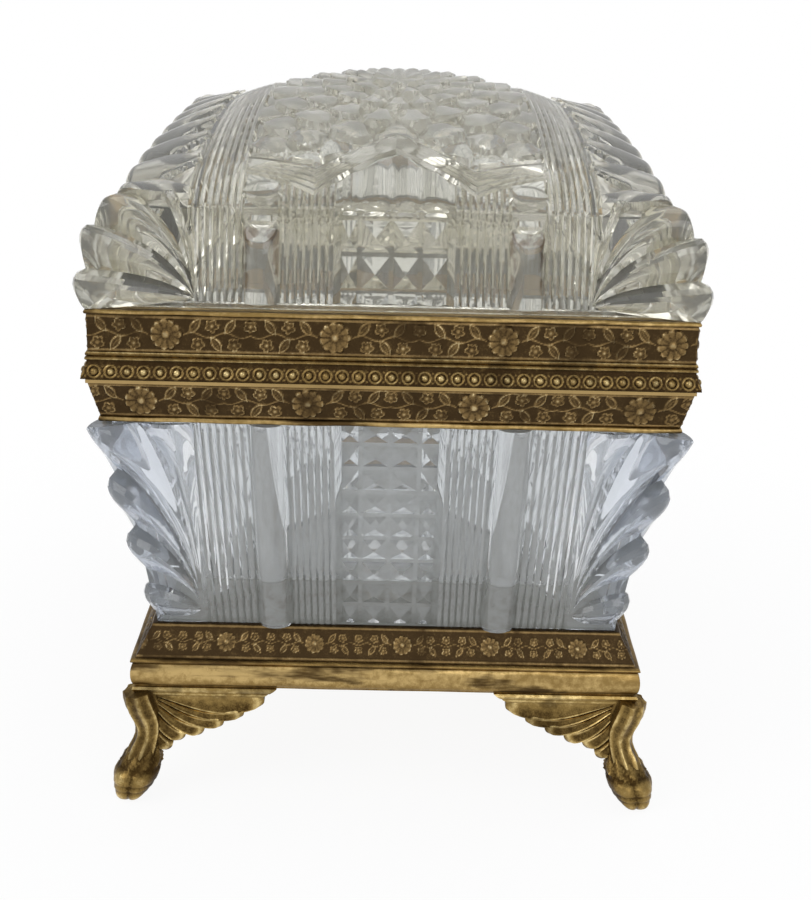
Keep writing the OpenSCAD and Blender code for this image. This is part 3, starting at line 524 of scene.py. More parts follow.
def closed_ring(end_row, side_row, corner, height):
    """A ring of points round the box from one end face, one side face and one corner."""
    plan = end_row + corner
    plan += [(place, out) for out, place in reversed(side_row)]
    plan += [(-x, y) for x, y in reversed(corner)]
    plan += [(-out, -place) for out, place in end_row]
    plan += [(-x, -y) for x, y in corner]
    plan += [(-place, -out) for out, place in reversed(side_row)]
    plan += [(x, -y) for x, y in reversed(corner)]
    return [(x, y, height) for x, y in plan]


def skin_faces(marks, shares):
    """Faces between stacked rings. In a diamond they are split along its arrises."""
    n = len(marks)
    faces = []
    for r, (low, high) in enumerate(zip(shares[:-1], shares[1:])):
        for i in range(n):
            j = (i + 1) % n
            a, b = r * n + i, r * n + j
            c, d = b + n, a + n
            one, two = marks[i], marks[j]
            in_diamond = None not in (low, high, one, two)
            if in_diamond and abs(one) == abs(low) and abs(two) == abs(high):
                faces += [(a, b, c), (a, c, d)]
            elif in_diamond and abs(two) == abs(low) and abs(one) == abs(high):
                faces += [(a, b, d), (b, c, d)]
            else:
                faces.append((a, b, c, d))
    return faces


# Shells round the corners

# Steps across a lobe, rings from root to tip, height of a lobe's ridge and depth of its creases
STEPS, SHELL_RINGS, RIDGE, CREASE = 8, 16, 1.7, 0.5


def over_corner(points):
    """The same points mirrored from the end face to the long face."""
    shift = (BOX_L - BOX_W) / 2
    swapped = points[..., [1, 0, 2]].copy()
    swapped[..., 0] += shift
    swapped[..., 1] -= shift
    return swapped


def lobe(w):
    """A lobe that swells quickly and tapers after it."""
    return math.sin(math.pi * w**0.63)


def body_shell_tips():
    """Tips of the body shell's lines: a wide rib, half a lobe, then four lobes down the corner."""
    top, first, rib_x, rib_y = RIM_Z - 0.15, 9.0, 3.1, 8
    pitch = (RIM_Z - first - GLASS_Z + 2.2) / 3
    lean = (WALL_LOW - WALL_HIGH) / (RIM_Z - GLASS_Z) * 1.55
    tips = []
    for k in range(2 * STEPS):
        s = k / STEPS
        if s < 1:
            g = math.sin(math.pi * s)
            x, y = hx(mix(WALL_HIGH - 0.4, rib_x, s) - g), hy(mix(FAN_ROOT - 0.8, rib_y, s))
        else:
            g = math.sin(math.pi / 2 * (s - 1))
            x, y = hx(mix(rib_x, 0, g)), hy(mix(rib_y, 0, s - 1))
        tips.append((x, y, top, g))
    for k in range(4 * STEPS + 1):
        w = k / STEPS % 1
        g = lobe(mix(1 / 3, 1, w)) if k < STEPS else lobe(w)
        z = RIM_Z - first * w if k < STEPS else RIM_Z - first - (k / STEPS - 1) * pitch
        inset = WALL_HIGH - 1.5 + (RIM_Z - z) * lean - 2.1 * g
        tips.append((hx(inset), hy(inset), max(GLASS_Z - 0.6, min(top, z)), g))
    return tips, 2 * STEPS


def lid_rib_tip(s):
    """Tip of one line of the lid shell's ribs: narrow flute, wide flute with a knob, half a lobe."""
    if s < 1:
        g = math.sin(math.pi * s)
        return hx(4.2 - 0.4 * g), hy(mix(FAN_ROOT, FLUTE_FROM, s)), LID_RIM_TOP + 11 + 2 * g, g / 2
    if s < 2:
        g = math.sin(math.pi * (s - 1))
        return hx(8 - 1.2 * g), hy(mix(FLUTE_FROM, FLUTE_TO, s - 1)), SHOULDER_Z + 0.6 + 2.2 * g, g
    g = math.sin(math.pi / 2 * (s - 2))
    return hx(mix(8, 5.4, g)), hy(mix(FLUTE_TO, 5.4, s - 2)), SHOULDER_Z + 0.6 + 1.6 * g, g


def lid_shell_tips():
    """Tips of the lid shell's lines: its ribs, then three lobes round the corner."""
    tips = [lid_rib_tip(k / STEPS) for k in range(3 * STEPS)]
    for k in range(3 * STEPS + 1):
        w = k / STEPS % 1
        g = lobe(mix(1 / 3, 1, w)) if k < STEPS else lobe(w)
        turn = math.radians(90 * (1 - k / (3 * STEPS)) ** 1.2)
        inset = 5.4 - 5 * math.cos(turn) ** 0.8 - 1.5 * g * math.cos(turn)
        rise = SHOULDER_Z - LID_RIM_TOP + 0.6 + 1.6 * g
        tips.append((hx(inset), hy(inset), LID_RIM_TOP + rise * math.sin(turn), g))
    return tips, 3 * STEPS


def rib_hump(s):
    """How far a rib stands out along its length, with a rounded nose."""
    crown = 0.55
    if s < crown:
        return math.sin(math.pi / 2 * s / crown)
    return math.sqrt(max(0.0, 1 - ((s - crown) / (1 - crown)) ** 2))


def corner_shell(root, tips, edge_from, core):
    """A closed shell for the +X +Y corner, as (points, faces).

    Its lines fan out from the root to the tips. The first edge_from tips lie along the
    top edge, and the back closes on the core point.
    """
    root = np.array(root, float)
    lines = []
    for x, y, z, g in tips:
        bend_y, bend_z = mix(root[1], y, 0.25), mix(root[2], z, 0.75)
        line = []
        for m in range(1, SHELL_RINGS + 1):
            s = 1 - (1 - m / SHELL_RINGS) ** 1.25
            push = rib_hump(s) * (RIDGE * g - CREASE * (1 - g))
            line.append((
                mix(root[0], x, s) + (push if m < SHELL_RINGS else 0.0),
                mix(mix(root[1], bend_y, s), mix(bend_y, y, s), s),
                mix(mix(root[2], bend_z, s), mix(bend_z, z, s), s),
            ))
        lines.append(line)
    front = np.array(lines)
    side = over_corner(front)
    count, n = len(tips), SHELL_RINGS
    verts = np.vstack([
        root[None], front.reshape(-1, 3), over_corner(root[None]), side.reshape(-1, 3), [core],
    ])
    far = 1 + count * n
    middle = 2 * far
    faces = []
    for k in range(count - 1):
        for base in (0, far):
            a, b = base + 1 + k * n, base + 1 + (k + 1) * n
            faces.append((base, a, b))
            faces += [(a + m, a + m + 1, b + m + 1, b + m) for m in range(n - 1)]
    for base in (0, far):
        faces += [(base + (k + 1) * n, base + (k + 2) * n, middle) for k in range(edge_from)]
        for k in (0, count - 1):
            line = [base] + [base + 1 + k * n + m for m in range(n)]
            faces += [(a, b, middle) for a, b in zip(line[:-1], line[1:])]
    return verts, faces


def four_corners(verts, faces):
    """The same shell at all four corners, as separate solids."""
    return [(verts * (sx, sy, 1), faces) for sx in (1, -1) for sy in (1, -1)]


# The two glass pieces

# Places of the grooves between the diamonds across an end of the lid
LID_COLUMNS = (-9.4, -5.9, -0.5, 4.4, 9.4)


def lid_pillar_rise(z):
    """The lid's pillars end in a round head, with a thin ledge above it."""
    if z > 109.3:
        return 0.55 if z < 110.5 else 0.0
    return 1.7 * math.sqrt(max(0.0, 1 - max(0.0, (z - 105.8) / 2.8) ** 2))


BODY_CUT = Cutting(
    ends=face_lines(
        (-8.6, -5.0, 0.0, 5.0, 8.6), 0.75, 4, (9.2, 17.5, 7), (17.9, 23.4), (23.8, 33.0, 7)
    ),
    sides=face_lines(
        [-21.5 + 4.3 * k for k in range(11)], 0.75, 4, (22.1, 32.4, 8), (32.8, 39.2), (39.6, 49.2, 8)
    ),
    corners=14, low=(WALL_LOW, GLASS_Z), high=(WALL_HIGH, RIM_Z),
    grooves=[33.2 + 4.71 * k for k in range(10)], groove=0.75, deep=1.5,
    spread=(0.99, 1.05), rise=lambda z: 2.2,
)
LID_CUT = Cutting(
    ends=face_lines(LID_COLUMNS, 0.8, 8, (10.0, 19.2, 7), (19.6, 25.2), (25.6, 34.2, 7)),
    sides=face_lines(
        [-19.6 + 4.9 * k for k in range(9)], 0.8, 8, (20.2, 31.0, 8), (31.6, 38.8), (39.8, 50.2, 8)
    ),
    corners=32, low=(LID_LOW, LID_RIM_TOP), high=(LID_HIGH, SHOULDER_Z),
    grooves=[92.7, 98.7, 104.8, 110.8, 116.9], groove=0.8, deep=1.5,
    spread=(1.0, 1.0), rise=lid_pillar_rise,
)


def closed_stack(stack, marks, shares):
    """Points and faces of stacked rings, closed at the foot, and the last ring's numbers."""
    verts = [p for points in stack for p in points]
    n = len(marks)
    faces = skin_faces(marks, shares) + [tuple(range(n - 1, -1, -1))]
    return verts, faces, [(len(stack) - 1) * n + i for i in range(n)]


def body_glass_solid():
    """The glass body with its hollow, without its shells."""
    heights = BODY_CUT.heights(4, GLASS_Z, RIM_Z)
    top = RIM_TOP - FLANGE_T - 0.2
    inner = [
        (LIP_INSET, RIM_Z, 2), (LIP_INSET, top, 2), (MOUTH_INSET, top, 4), (MOUTH_INSET, RIM_Z, 4.5),
        (WALL_LOW + WALL_T - 0.3, FLOOR_Z + 2.4, 6), (WALL_LOW + WALL_T + 0.5, FLOOR_Z + 0.7, 6),
        (WALL_LOW + WALL_T + 2.2, FLOOR_Z, 6),
    ]
    stack = [BODY_CUT.plain(WALL_LOW + 0.5, SEAT_Z), BODY_CUT.plain(WALL_LOW + 0.5, GLASS_Z)]
    stack += [BODY_CUT.ring(z) for z in heights]
    stack += [BODY_CUT.plain(*ring) for ring in inner]
    shares = [None] * 2 + [BODY_CUT.share(z) for z in heights] + [None] * len(inner)
    verts, faces, last = closed_stack(stack, BODY_CUT.marks(), shares)
    return verts, faces + [tuple(last)]


def swell(x, y):
    """The dome's height over the shoulder, before any cutting."""
    tx, ty = np.clip(np.abs(x) / hx(LID_HIGH), 0, 1), np.clip(np.abs(y) / hy(LID_HIGH), 0, 1)
    return DOME_RISE * (1 - tx**2) ** 0.6 * (1 - ty**2) ** 0.75


# The reed bands over the dome, from its centre line
BAND_IN, BAND_OUT = 25.6, 34.2


def gadroons(x, y):
    """Long lobes over the long sides, pointed at the reed band and round at the shoulder."""
    along = np.clip((np.abs(y) - BAND_OUT) / (hy(LID_HIGH) - BAND_OUT), 0, 1)
    across = 2 * np.abs(x / 15 - np.round(x / 15)) / np.minimum(1, 0.2 + 1.6 * along)
    body = np.sqrt(np.clip(1 - across**2, 0, 1)) * (0.8 + 2.4 * along**1.5)
    nose = np.sqrt(np.clip(1 - np.clip((along - 0.82) / 0.18, 0, 1) ** 2, 0, 1))
    return body * nose - 0.3 * (across > 1) * (along > 0.05)


def rosette(x, y):
    """Rings of overlapping petals round the middle of the top."""
    sx = x * 0.52
    radius, angle = np.hypot(sx, y), np.arctan2(y, sx)
    height = np.zeros_like(radius)
    for k, inner in enumerate((0.6, 5.4, 10.3, 15.2, 20.1, 25.0, 29.9)):
        petals = (6, 10, 16, 16, 16, 24, 24)[k]
        along = (radius - inner) / 4.9
        turned = angle * petals / (2 * math.pi) + 0.5 * (k % 2)
        across = 2 * np.abs(turned - np.round(turned))
        end = np.sqrt(np.clip(1 - across**2.4, 0, 1)) * 1.12
        lift = np.sqrt(np.clip(1 - across**2, 0, 1)) * (0.5 + 0.5 * np.clip(along, 0, 1))
        step = np.clip((end - along) * 8, 0, 1) * (along > -0.3)
        height = np.maximum(height, 2.0 * lift * step * np.clip(along * 3 + 1, 0, 1))
    return height - 1.8


def saw(value):
    """Sharp reeds across a distance: 0 at the arris, -1 in the groove."""
    return -2 * np.abs(value - np.floor(value) - 0.5)


# The gable over each end: its top from the edge, its slope, where it stops falling, and how
# far the chevron reeds run above it
GABLE_TOP, GABLE_SLOPE, VALLEY, CHEVRONS = 12.7, 0.8, 13.7, 6.5


def prisms(y, rise):
    """Pointed prisms over an end's diamonds, ridged in line with the diamonds' points."""
    foot, high, deep, groove = 111.2, 2.65, 1.5, 0.7
    edges = np.array(LID_COLUMNS)
    column = np.clip(np.searchsorted(edges, y) - 1, 0, len(edges) - 2)
    mid, half = (edges[column] + edges[column + 1]) / 2, (edges[column + 1] - edges[column]) / 2
    across = np.clip(np.abs(y - mid) / half, 0, 1)
    up = np.clip((SHOULDER_Z - foot + rise) / high, 0, 1)
    over = np.clip((across - (1 - up)) * half / groove, 0, 1)
    point = -deep * np.maximum(across, 1 - up)
    beside = (1 - over) * point - over * deep / 2 * across**1.6
    return np.where(across < 1 - up, -deep * (1 - up), beside)


def gable_drop(side):
    """How much nearer the end's edge the chevron lines run at a place beside the middle."""
    low = np.where(side < VALLEY, GABLE_SLOPE * side, GABLE_SLOPE * VALLEY - 0.5 * (side - VALLEY))
    return low * np.clip((BAND_OUT - side) / (BAND_OUT - BAND_IN), 0, 1)


def along_chevrons(x, y):
    """Moves the dome's grid lines so that they follow the chevron lines near the ends."""
    back, drop = hx(LID_HIGH) - np.abs(x), gable_drop(np.abs(y))
    top, last, end = GABLE_TOP, GABLE_TOP + CHEVRONS, GABLE_TOP + 2 * CHEVRONS
    moved = np.where(back < top, back * (top - drop) / top, back - drop)
    moved = np.where(back > last, end - (end - back) * (end - last + drop) / (end - last), moved)
    return np.sign(x) * (hx(LID_HIGH) - np.where(back > end, back, moved))


def end_fan(x, y, edge):
    """Over an end: prisms under a gable, chevron reeds beside it and smooth facets above."""
    back, side = hx(LID_HIGH) - np.abs(x), np.abs(y)
    rise = swell(x, y) + back
    over = back + gable_drop(side) - GABLE_TOP
    turn = np.arctan2(side, np.clip(back - GABLE_TOP + 6, 0.5, None))
    facets = -0.35 - 0.75 * np.abs(np.cos(turn * 7))
    field = np.where(over < CHEVRONS, 0.3 * saw(over / 1.3), facets)
    field = np.where(over < 0, np.where(side < LID_COLUMNS[-1], prisms(y, rise), edge), field)
    seam = np.clip(1 - np.abs(over) / 0.5, 0, 1) * (side < 11)
    boss = 1 - ((side - 22.3) / 3.4) ** 2 - ((back - 2.6) / 2.3) ** 2
    return np.where(boss > 0, np.sqrt(np.clip(boss, 0, 1)), field - 0.4 * seam)


def dome_relief(x, y, end_edge, side_edge):
    """Height of the cutting over the dome's swell. The edges give what the walls have."""
    side, back = np.abs(y), hx(LID_HIGH) - np.abs(x)
    above = back + gable_drop(side) - GABLE_TOP - CHEVRONS - 3 * (side / BAND_IN)
    inner = np.where(above > 0, rosette(x, y), end_fan(x, y, end_edge))
    inner = np.where(side > BAND_IN, end_edge, inner)
    outer = np.where(np.abs(x) < hx(LID_HIGH) - 2, gadroons(x, y), 0.0)
    relief = np.where(side > BAND_OUT, outer, inner)
    near_end = np.clip(1 - back / 0.8, 0, 1)
    near_side = np.clip(1 - (hy(LID_HIGH) - side) / 0.5, 0, 1)
    relief = relief * (1 - near_end) + end_edge * near_end
    return relief * (1 - near_side) + side_edge * near_side


def dome_field(xs, ys):
    """Points of the dome and its cutting over a grid of places."""
    gx, gy = np.meshgrid(xs, ys, indexing="ij")
    gx = along_chevrons(gx, gy)
    border = [0.0] * LID_CUT.corners
    end_edge, side_edge = (
        np.array(border + [-LID_CUT.depth(line, SHOULDER_Z) for line in row] + border)
        for row in (LID_CUT.ends, LID_CUT.sides)
    )
    step = 0.05
    slope_x = (swell(gx + step, gy) - swell(gx - step, gy)) / (2 * step)
    slope_y = (swell(gx, gy + step) - swell(gx, gy - step)) / (2 * step)
    length = np.sqrt(slope_x**2 + slope_y**2 + 1)
    relief = dome_relief(gx, gy, end_edge[None, :], side_edge[:, None])
    return np.stack([
        gx - relief * slope_x / length, gy - relief * slope_y / length,
        SHOULDER_Z + swell(gx, gy) + relief / length,
    ], axis=-1)


def dome_faces(start, nx, ny, last):
    """Faces of the dome's grid of nx by ny points, whose border is the wall's last ring."""
    nc, ring_no = LID_CUT.corners, lambda k: last[k % len(last)]
    # The ring's points round the border, each side listed with rising x or y
    turn = ny - nc + 1
    plus_x = [ring_no(k) for k in range(-nc, ny - nc)]
    plus_y = [ring_no(turn + k) for k in range(nx)][::-1]
    minus_x = [ring_no(turn + nx + 1 + k) for k in range(ny)][::-1]
    minus_y = [ring_no(turn + nx + 1 + ny + 1 + k) for k in range(nx)]
    corner = {
        (True, True): ring_no(turn - 1), (False, True): ring_no(turn + nx),
        (False, False): ring_no(turn + nx + 1 + ny), (True, False): ring_no(-nc - 1),
    }

    def at(i, j):
        if i in (-1, nx) and j in (-1, ny):
            return corner[(i == nx, j == ny)]
        if i in (-1, nx):
            return (minus_x if i < 0 else plus_x)[j]
        if j in (-1, ny):
            return (minus_y if j < 0 else plus_y)[i]
        return start + i * ny + j

    return [
        (at(i, j), at(i + 1, j), at(i + 1, j + 1), at(i, j + 1))
        for i in range(-1, nx) for j in range(-1, ny)
    ]


def lid_glass_solid():
    """The domed glass lid with its hollow, without its shells."""
    heights = LID_CUT.heights(8, LID_RIM_TOP + 1.0, SHOULDER_Z)
    lip_low = LID_Z + FLANGE_T + 0.55
    inner = [
        (34.5, 118.0, 4), (30, 117.3, 6), (25, 115.9, 8), (21, 113.6, 8), (18, 110.8, 8), (16, 107.6, 8),
        (14.4, 103.5, 7), (12.6, 98.5, 6), (11.4, LID_RIM_TOP, 5), (MOUTH_INSET, lip_low, 5),
        (LIP_INSET, lip_low, 2), (LIP_INSET, LID_RIM_TOP, 2), (LID_LOW - 0.3, LID_RIM_TOP + 0.02, 1),
        (LID_LOW - 0.35, LID_RIM_TOP + 0.9, 1),
    ]
    stack = [LID_CUT.plain(*ring) for ring in inner] + [LID_CUT.ring(z) for z in heights]
    shares = [None] * len(inner) + [LID_CUT.share(z) for z in heights]
    verts, faces, last = closed_stack(stack, LID_CUT.marks(), shares)
    # The dome's grid has the lines of the walls and the last ring's corner points
    ends, sides, nc = LID_CUT.ends, LID_CUT.sides, LID_CUT.corners
    ne = len(ends)
    corner_y = [p[1] for p in stack[-1][ne:ne + nc]]
    corner_x = [p[0] for p in stack[-1][ne + nc + 1:ne + 2 * nc + 1]][::-1]
    xs = [-x for x in corner_x[::-1]] + [line[0] for line in sides] + corner_x
    ys = [-y for y in corner_y[::-1]] + [line[0] for line in ends] + corner_y
    faces += dome_faces(len(verts), len(xs), len(ys), last)
    verts += [tuple(p) for p in dome_field(xs, ys).reshape(-1, 3)]
    return verts, faces


def glass_piece(name, solid, shells, notch, material, body, node):
    """A glass solid united with its corner shells, less the notch if there is one."""
    piece = loose_solid(name, *solid)
    tools = [loose_solid(f"{name}_shell_{k}", *shell) for k, shell in enumerate(shells)]
    apply_boolean(piece, tools, "UNION")
    if notch is not None:
        apply_boolean(piece, [loose_solid(name + "_notch", *notch)], "DIFFERENCE")
    finish_piece(piece, material, body, node, 24)
    return piece


body_tips, body_edge = body_shell_tips()
body_shells = four_corners(*corner_shell(
    (hx(WALL_LOW + 0.3), hy(FAN_ROOT), GLASS_Z + 2.4), body_tips, body_edge,
    (hx(8.5), hy(8.5), RIM_Z - 0.6),
))
notch = box_solid(
    (-LOCK_HALF, -hy(LIP_INSET) - 2, RIM_Z + LOCK_NOTCH), (LOCK_HALF, -hy(MOUTH_INSET) + 1, RIM_TOP)
)
cut_body = glass_piece(
    "cut_glass_body", body_glass_solid(), body_shells, notch, BODY_GLASS,
    "body", "glass_body",
)
# The foot of the body is bedded in plaster, which shows through the glass without a gap. That plaster has a
# faint painted glow, which stands in for light led down through the thick glass.
cut_body.data.materials.append(GLOWING_BEDDED)
for face in cut_body.data.polygons:
    if face.center.z < (SEAT_Z + 0.05) * MM:
        face.material_index = 1

lid_tips, lid_edge = lid_shell_tips()
lid_shells = four_corners(*corner_shell(
    (hx(LID_LOW + 0.3), hy(FAN_ROOT), LID_RIM_TOP + 1.6), lid_tips, lid_edge,
    (hx(19), hy(19), SHOULDER_Z + 1),
))
glass_piece(
    "cut_glass_lid", lid_glass_solid(), lid_shells, None, LID_GLASS, "lid", "glass_lid"
)


# Stamped strips, mouldings and wires: frames with mitred corners


def line_through(points, pitch):
    """Even steps along a profile of [inset, height], with outward normals and places along it."""
    points = np.array(points, float)
    lengths = np.hypot(*np.diff(points, axis=0).T)
    places = np.concatenate([[0], np.cumsum(lengths)])
    count = max(2, int(round(places[-1] / pitch)) + 1)
    at = np.union1d(np.linspace(0, places[-1], count), places)
    inset, z = np.interp(at, places, points[:, 0]), np.interp(at, places, points[:, 1])
    slope_i, slope_z = np.gradient(inset, at), np.gradient(z, at)
    length = np.hypot(slope_i, slope_z)
    return inset, z, -slope_z / length, slope_i / length, at - places[-1] / 2


def strip(name, front, back, pitch, pattern, material, body, node, cuts=()):
    """A frame round the four sides. pattern(u, v) gives its relief and its tone.

    u runs along a side from its middle, and v up the strip from its middle.
    """
    inset, z, out, up, v = line_through(front, pitch)
    rings, tones = [], []
    for k in range(len(inset)):
        ring, tone = [], []
        for turn in range(4):
            run, face = (hx, hy) if turn % 2 else (hy, hx)
            half = run(inset[k])
            u = np.linspace(-half, half, int(round(2 * run(0) / pitch)) + 1)[:-1]
            rise, shade = pattern(u, np.full_like(u, v[k]))
            rise = rise * np.clip((half - np.abs(u)) / 0.5, 0, 1)
            far = face(inset[k] + out[k] * rise)
            x, y = ((far, u), (-u, far), (-far, -u), (u, -far))[turn]
            ring.append(np.stack([x, y, z[k] + up[k] * rise], axis=-1))
            tone.append(shade)
        rings.append(np.vstack(ring))
        tones.append(np.concatenate(tone))
    for i, height in back:
        scale = np.array([hx(i) / hx(inset[0]), hy(i) / hy(inset[0]), 0])
        rings.append(rings[0] * scale + (0, 0, height))
        tones.append(tones[0] * 0)
    faces = tube_faces(len(rings), len(rings[0]), joined=True)
    piece = loose_solid(name, np.vstack(rings), faces, np.concatenate(tones))
    for cutter in cuts:
        apply_boolean(piece, [loose_solid(name + "_cut", *cutter)], "DIFFERENCE")
    finish_piece(piece, material, body, node, 40)


def near(distance, width):
    """1 on a line, falling to 0 at its width."""
    return np.clip(1 - np.abs(distance) / width, 0, 1)


def daisy(u, v, radius, petals=11):
    """Relief and tone of a round flower with a bright outline."""
    r, turn = np.hypot(u, v), np.arctan2(v, u)
    scallop = np.abs(np.cos(petals / 2 * turn))
    rim = radius * (0.84 + 0.16 * scallop**0.6)
    inside = np.clip((rim - r) / 0.15, 0, 1)
    petal = inside * scallop**0.5 * np.clip(r / radius * 1.6, 0, 1)
    body = inside * (0.12 + 0.2 * scallop * r / radius)
    edge = near(r - rim + 0.2, 0.3) * inside
    eye = np.clip(1 - (r / (0.26 * radius)) ** 2, 0, 1)
    ring = near(r - 0.4 * radius, 0.22)
    rise = body + 0.1 * edge + 0.3 * np.sqrt(eye) - 0.1 * ring * inside
    return rise, np.clip(0.42 * petal + 0.7 * edge * scallop + 0.95 * eye, 0, 1)


def leaf(u, v, angle, length=1.65, wide=0.74):
    """Relief and tone of a pointed leaf with a raised outline and vein."""
    along = (u * math.cos(angle) + v * math.sin(angle)) / length
    across = -u * math.sin(angle) + v * math.cos(angle)
    half = wide * np.clip(1 - along**2, 0, 1)
    edge = near(np.abs(across) - half + 0.1, 0.2) * (np.abs(along) < 1.05)
    inside = (np.abs(across) < half).astype(float)
    vein = near(across, 0.12) * inside * (along < 0.6)
    rise = 0.1 * inside + 0.18 * edge + 0.06 * vein
    return rise, np.clip(0.12 * inside + 0.95 * edge + 0.3 * vein, 0, 1)


def floret(u, v, radius=1.28):
    """Relief and tone of a little five-leaved flower."""
    r, turn = np.hypot(u, v), np.arctan2(v, u)
    rim = radius * (0.7 + 0.3 * np.abs(np.cos(2.5 * turn + 0.4)))
    inside = np.clip((rim - r) / 0.12, 0, 1)
    edge = near(r - rim + 0.14, 0.22) * inside
    eye = near(r, 0.34 * radius)
    rise = 0.14 * inside + 0.16 * edge + 0.16 * eye
    return rise, np.clip(0.15 * inside + 0.8 * edge + 0.9 * eye, 0, 1)


# What grows above and below the stem, with its place from the daisy
UPPER = ((4.9, "leaf"), (7.8, "floret"), (10.9, "leaf"), (14.2, "floret"))
LOWER = ((5.4, "floret"), (8.5, "leaf"), (11.5, "floret"))


def vine(u, v, period, shift, scale):
    """A trailing vine with a daisy in every period, leaves and florets above and below."""
    w = ((u - shift + period / 2) % period - period / 2) / scale
    v = v / scale
    rise, tone = daisy(w, v, 2.75)
    w = np.abs(w)
    free = (w > 2.9).astype(float)
    stem = 0.42 * np.sin((w - 3) * 1.12)
    parts = [(0.14 * near(v - stem, 0.24) * free, 0.75 * near(v - stem, 0.2) * free)]
    meeting = period / scale / 2
    for row, side in ((UPPER, 1), (LOWER, -1)):
        for place, kind in row:
            if place > meeting - 2.2:
                place, kind = meeting, "floret"
            if kind == "leaf":
                parts.append(leaf(w - place, v - side * 1.55, side * 0.95))
                twig = near((v - side * (w - place + 1.6) * 1.1), 0.2) * (np.abs(v) < 1.2) * (v * side > 0)
                parts.append((0.1 * twig, 0.5 * twig))
            else:
                parts.append(floret(w - place, v - side * 1.6))
    for part_rise, part_tone in parts:
        rise, tone = np.maximum(rise, part_rise), np.maximum(tone, part_tone)
    return rise * scale, tone


def framed_vine(high, period, shift, scale):
    """The vine between two thin raised lines, on a strip of some height."""
    def pattern(u, v):
        rise, tone = vine(u, v, period, shift, scale)
        edge = near(np.abs(v) - high / 2 + 0.35, 0.3)
        rise, tone = np.maximum(rise, 0.2 * edge), np.maximum(tone, 0.8 * edge)
        return rise + 0.04 * np.sin(u / 6.3) * near(v, high), tone
    return pattern


def bead_pattern(u, v):
    """Beads in rings along the foot of the lid rim, under two fillets."""
    middle, pitch = -1.55, 2.8
    w = (u + pitch / 2) % pitch - pitch / 2
    r = np.hypot(w, v - middle)
    bead = np.sqrt(np.clip(1 - (r / 0.62) ** 2, 0, 1))
    ring = near(r - 1.02, 0.24)
    between = near(np.hypot(np.abs(w) - pitch / 2, np.abs(v - middle) - 0.85), 0.3)
    rise = 0.5 * bead + 0.2 * ring + 0.2 * between
    tone = np.clip(bead + 0.8 * ring + 0.55 * between, 0, 1)
    fillet = (v > 0.35).astype(float) * (0.55 + 0.3 * np.cos((v - 0.8) * 6.5))
    return rise, np.maximum(tone, fillet + 0.8 * (v < -3.0))


def worn(low, high, step):
    """A smooth moulding with shallow dents. Its tone goes from low to high at its crown."""
    def pattern(u, v):
        dents = 0.05 * np.sin(u / 5.1 + v) + 0.04 * np.sin(u / 2.3 - 2 * v)
        return dents * near(v, 9), low + (high - low) * np.cos(v / step) ** 2
    return pattern


def half_round(inset, low, high, bulge, turns=9):
    """Profile of a half-round moulding between two heights."""
    mid, r = (low + high) / 2, (high - low) / 2
    angles = np.radians(np.linspace(-90, 90, turns))
    return [(inset - bulge * math.cos(a), mid + r * math.sin(a)) for a in angles]


# Size of the strips' mesh cells, then places of the strips, the hinge and the keyhole
PITCH = 0.22
FRIEZE_T, LID_FRIEZE = 1.0, 0.5
BEAD_TOP, FRIEZE_LOW, FRIEZE_HIGH = LID_Z + 3.1, LID_Z + 4.6, LID_RIM_TOP - 0.8
BODY_HIGH, BODY_LOW = RIM_TOP - FLANGE_T + 0.6, RIM_Z + 1.4
BODY_SLOPE = 2.0 / (BODY_HIGH - RIM_Z - 0.3)
AXIS_Y, AXIS_Z, KNUCKLE = BOX_W / 2 + 1.1, RIM_TOP + 0.15, 3.0
KEY_Z, KEY_R, KEY_SLOT, KEY_DEEP = 79.3, 1.3, 0.65, 2.4


def body_back(z):
    """Inset of the body frieze's back, which leans in towards its foot."""
    return FRIEZE_T + BODY_SLOPE * (BODY_HIGH - z)


def keyhole():
    """The keyhole's round head and slot, as a prism through the front."""
    turns = np.radians(np.linspace(-60, 240, 25))
    outline = [(KEY_R * math.cos(t), KEY_Z + KEY_R * math.sin(t)) for t in turns]
    outline += [(-KEY_SLOT, KEY_Z - KEY_DEEP), (KEY_SLOT, KEY_Z - KEY_DEEP)]
    n = len(outline)
    verts = [(x, y, z) for y in (-hy(-1), -hy(5)) for x, z in outline]
    faces = [tuple(range(n)), tuple(range(2 * n - 1, n - 1, -1))]
    return verts, faces + [(k, n + k, n + (k + 1) % n, (k + 1) % n) for k in range(n)]


# Room for the hinge: its barrel and its lid leaf
barrel_room = box_solid(
    (-35.7, AXIS_Y - KNUCKLE / 2 - 0.2, AXIS_Z - KNUCKLE / 2 - 0.2),
    (35.7, AXIS_Y + 3, AXIS_Z + KNUCKLE / 2 + 0.2),
)
leaf_room = box_solid((-35.2, AXIS_Y - KNUCKLE / 2 - 7, LID_Z - 1), (35.2, AXIS_Y + 3, LID_Z + 0.6))

strip(
    "stamped_lid_frieze", [(LID_FRIEZE, FRIEZE_LOW), (LID_FRIEZE, FRIEZE_HIGH)],
    [(LID_FRIEZE + FRIEZE_T, FRIEZE_HIGH), (LID_FRIEZE + FRIEZE_T, FRIEZE_LOW)], PITCH,
    framed_vine(FRIEZE_HIGH - FRIEZE_LOW, 28.5, -9.7, 1.0), STAMPED, "lid", "lid_frieze",
)
strip(
    "lid_bead_row",
    [(-0.7, LID_Z), (-0.6, LID_Z + 0.5), (0.3, BEAD_TOP - 0.3), (0.3, BEAD_TOP)]
    + half_round(LID_FRIEZE - 0.1, BEAD_TOP, BEAD_TOP + 0.7, 0.4, 7)
    + half_round(LID_FRIEZE, BEAD_TOP + 0.75, FRIEZE_LOW, 0.4, 7),
    [(LID_FRIEZE + FRIEZE_T, FRIEZE_LOW), (LID_FRIEZE + FRIEZE_T, LID_Z)], PITCH,
    bead_pattern, BEADED, "lid", "lid_bead_row", (barrel_room, leaf_room),
)
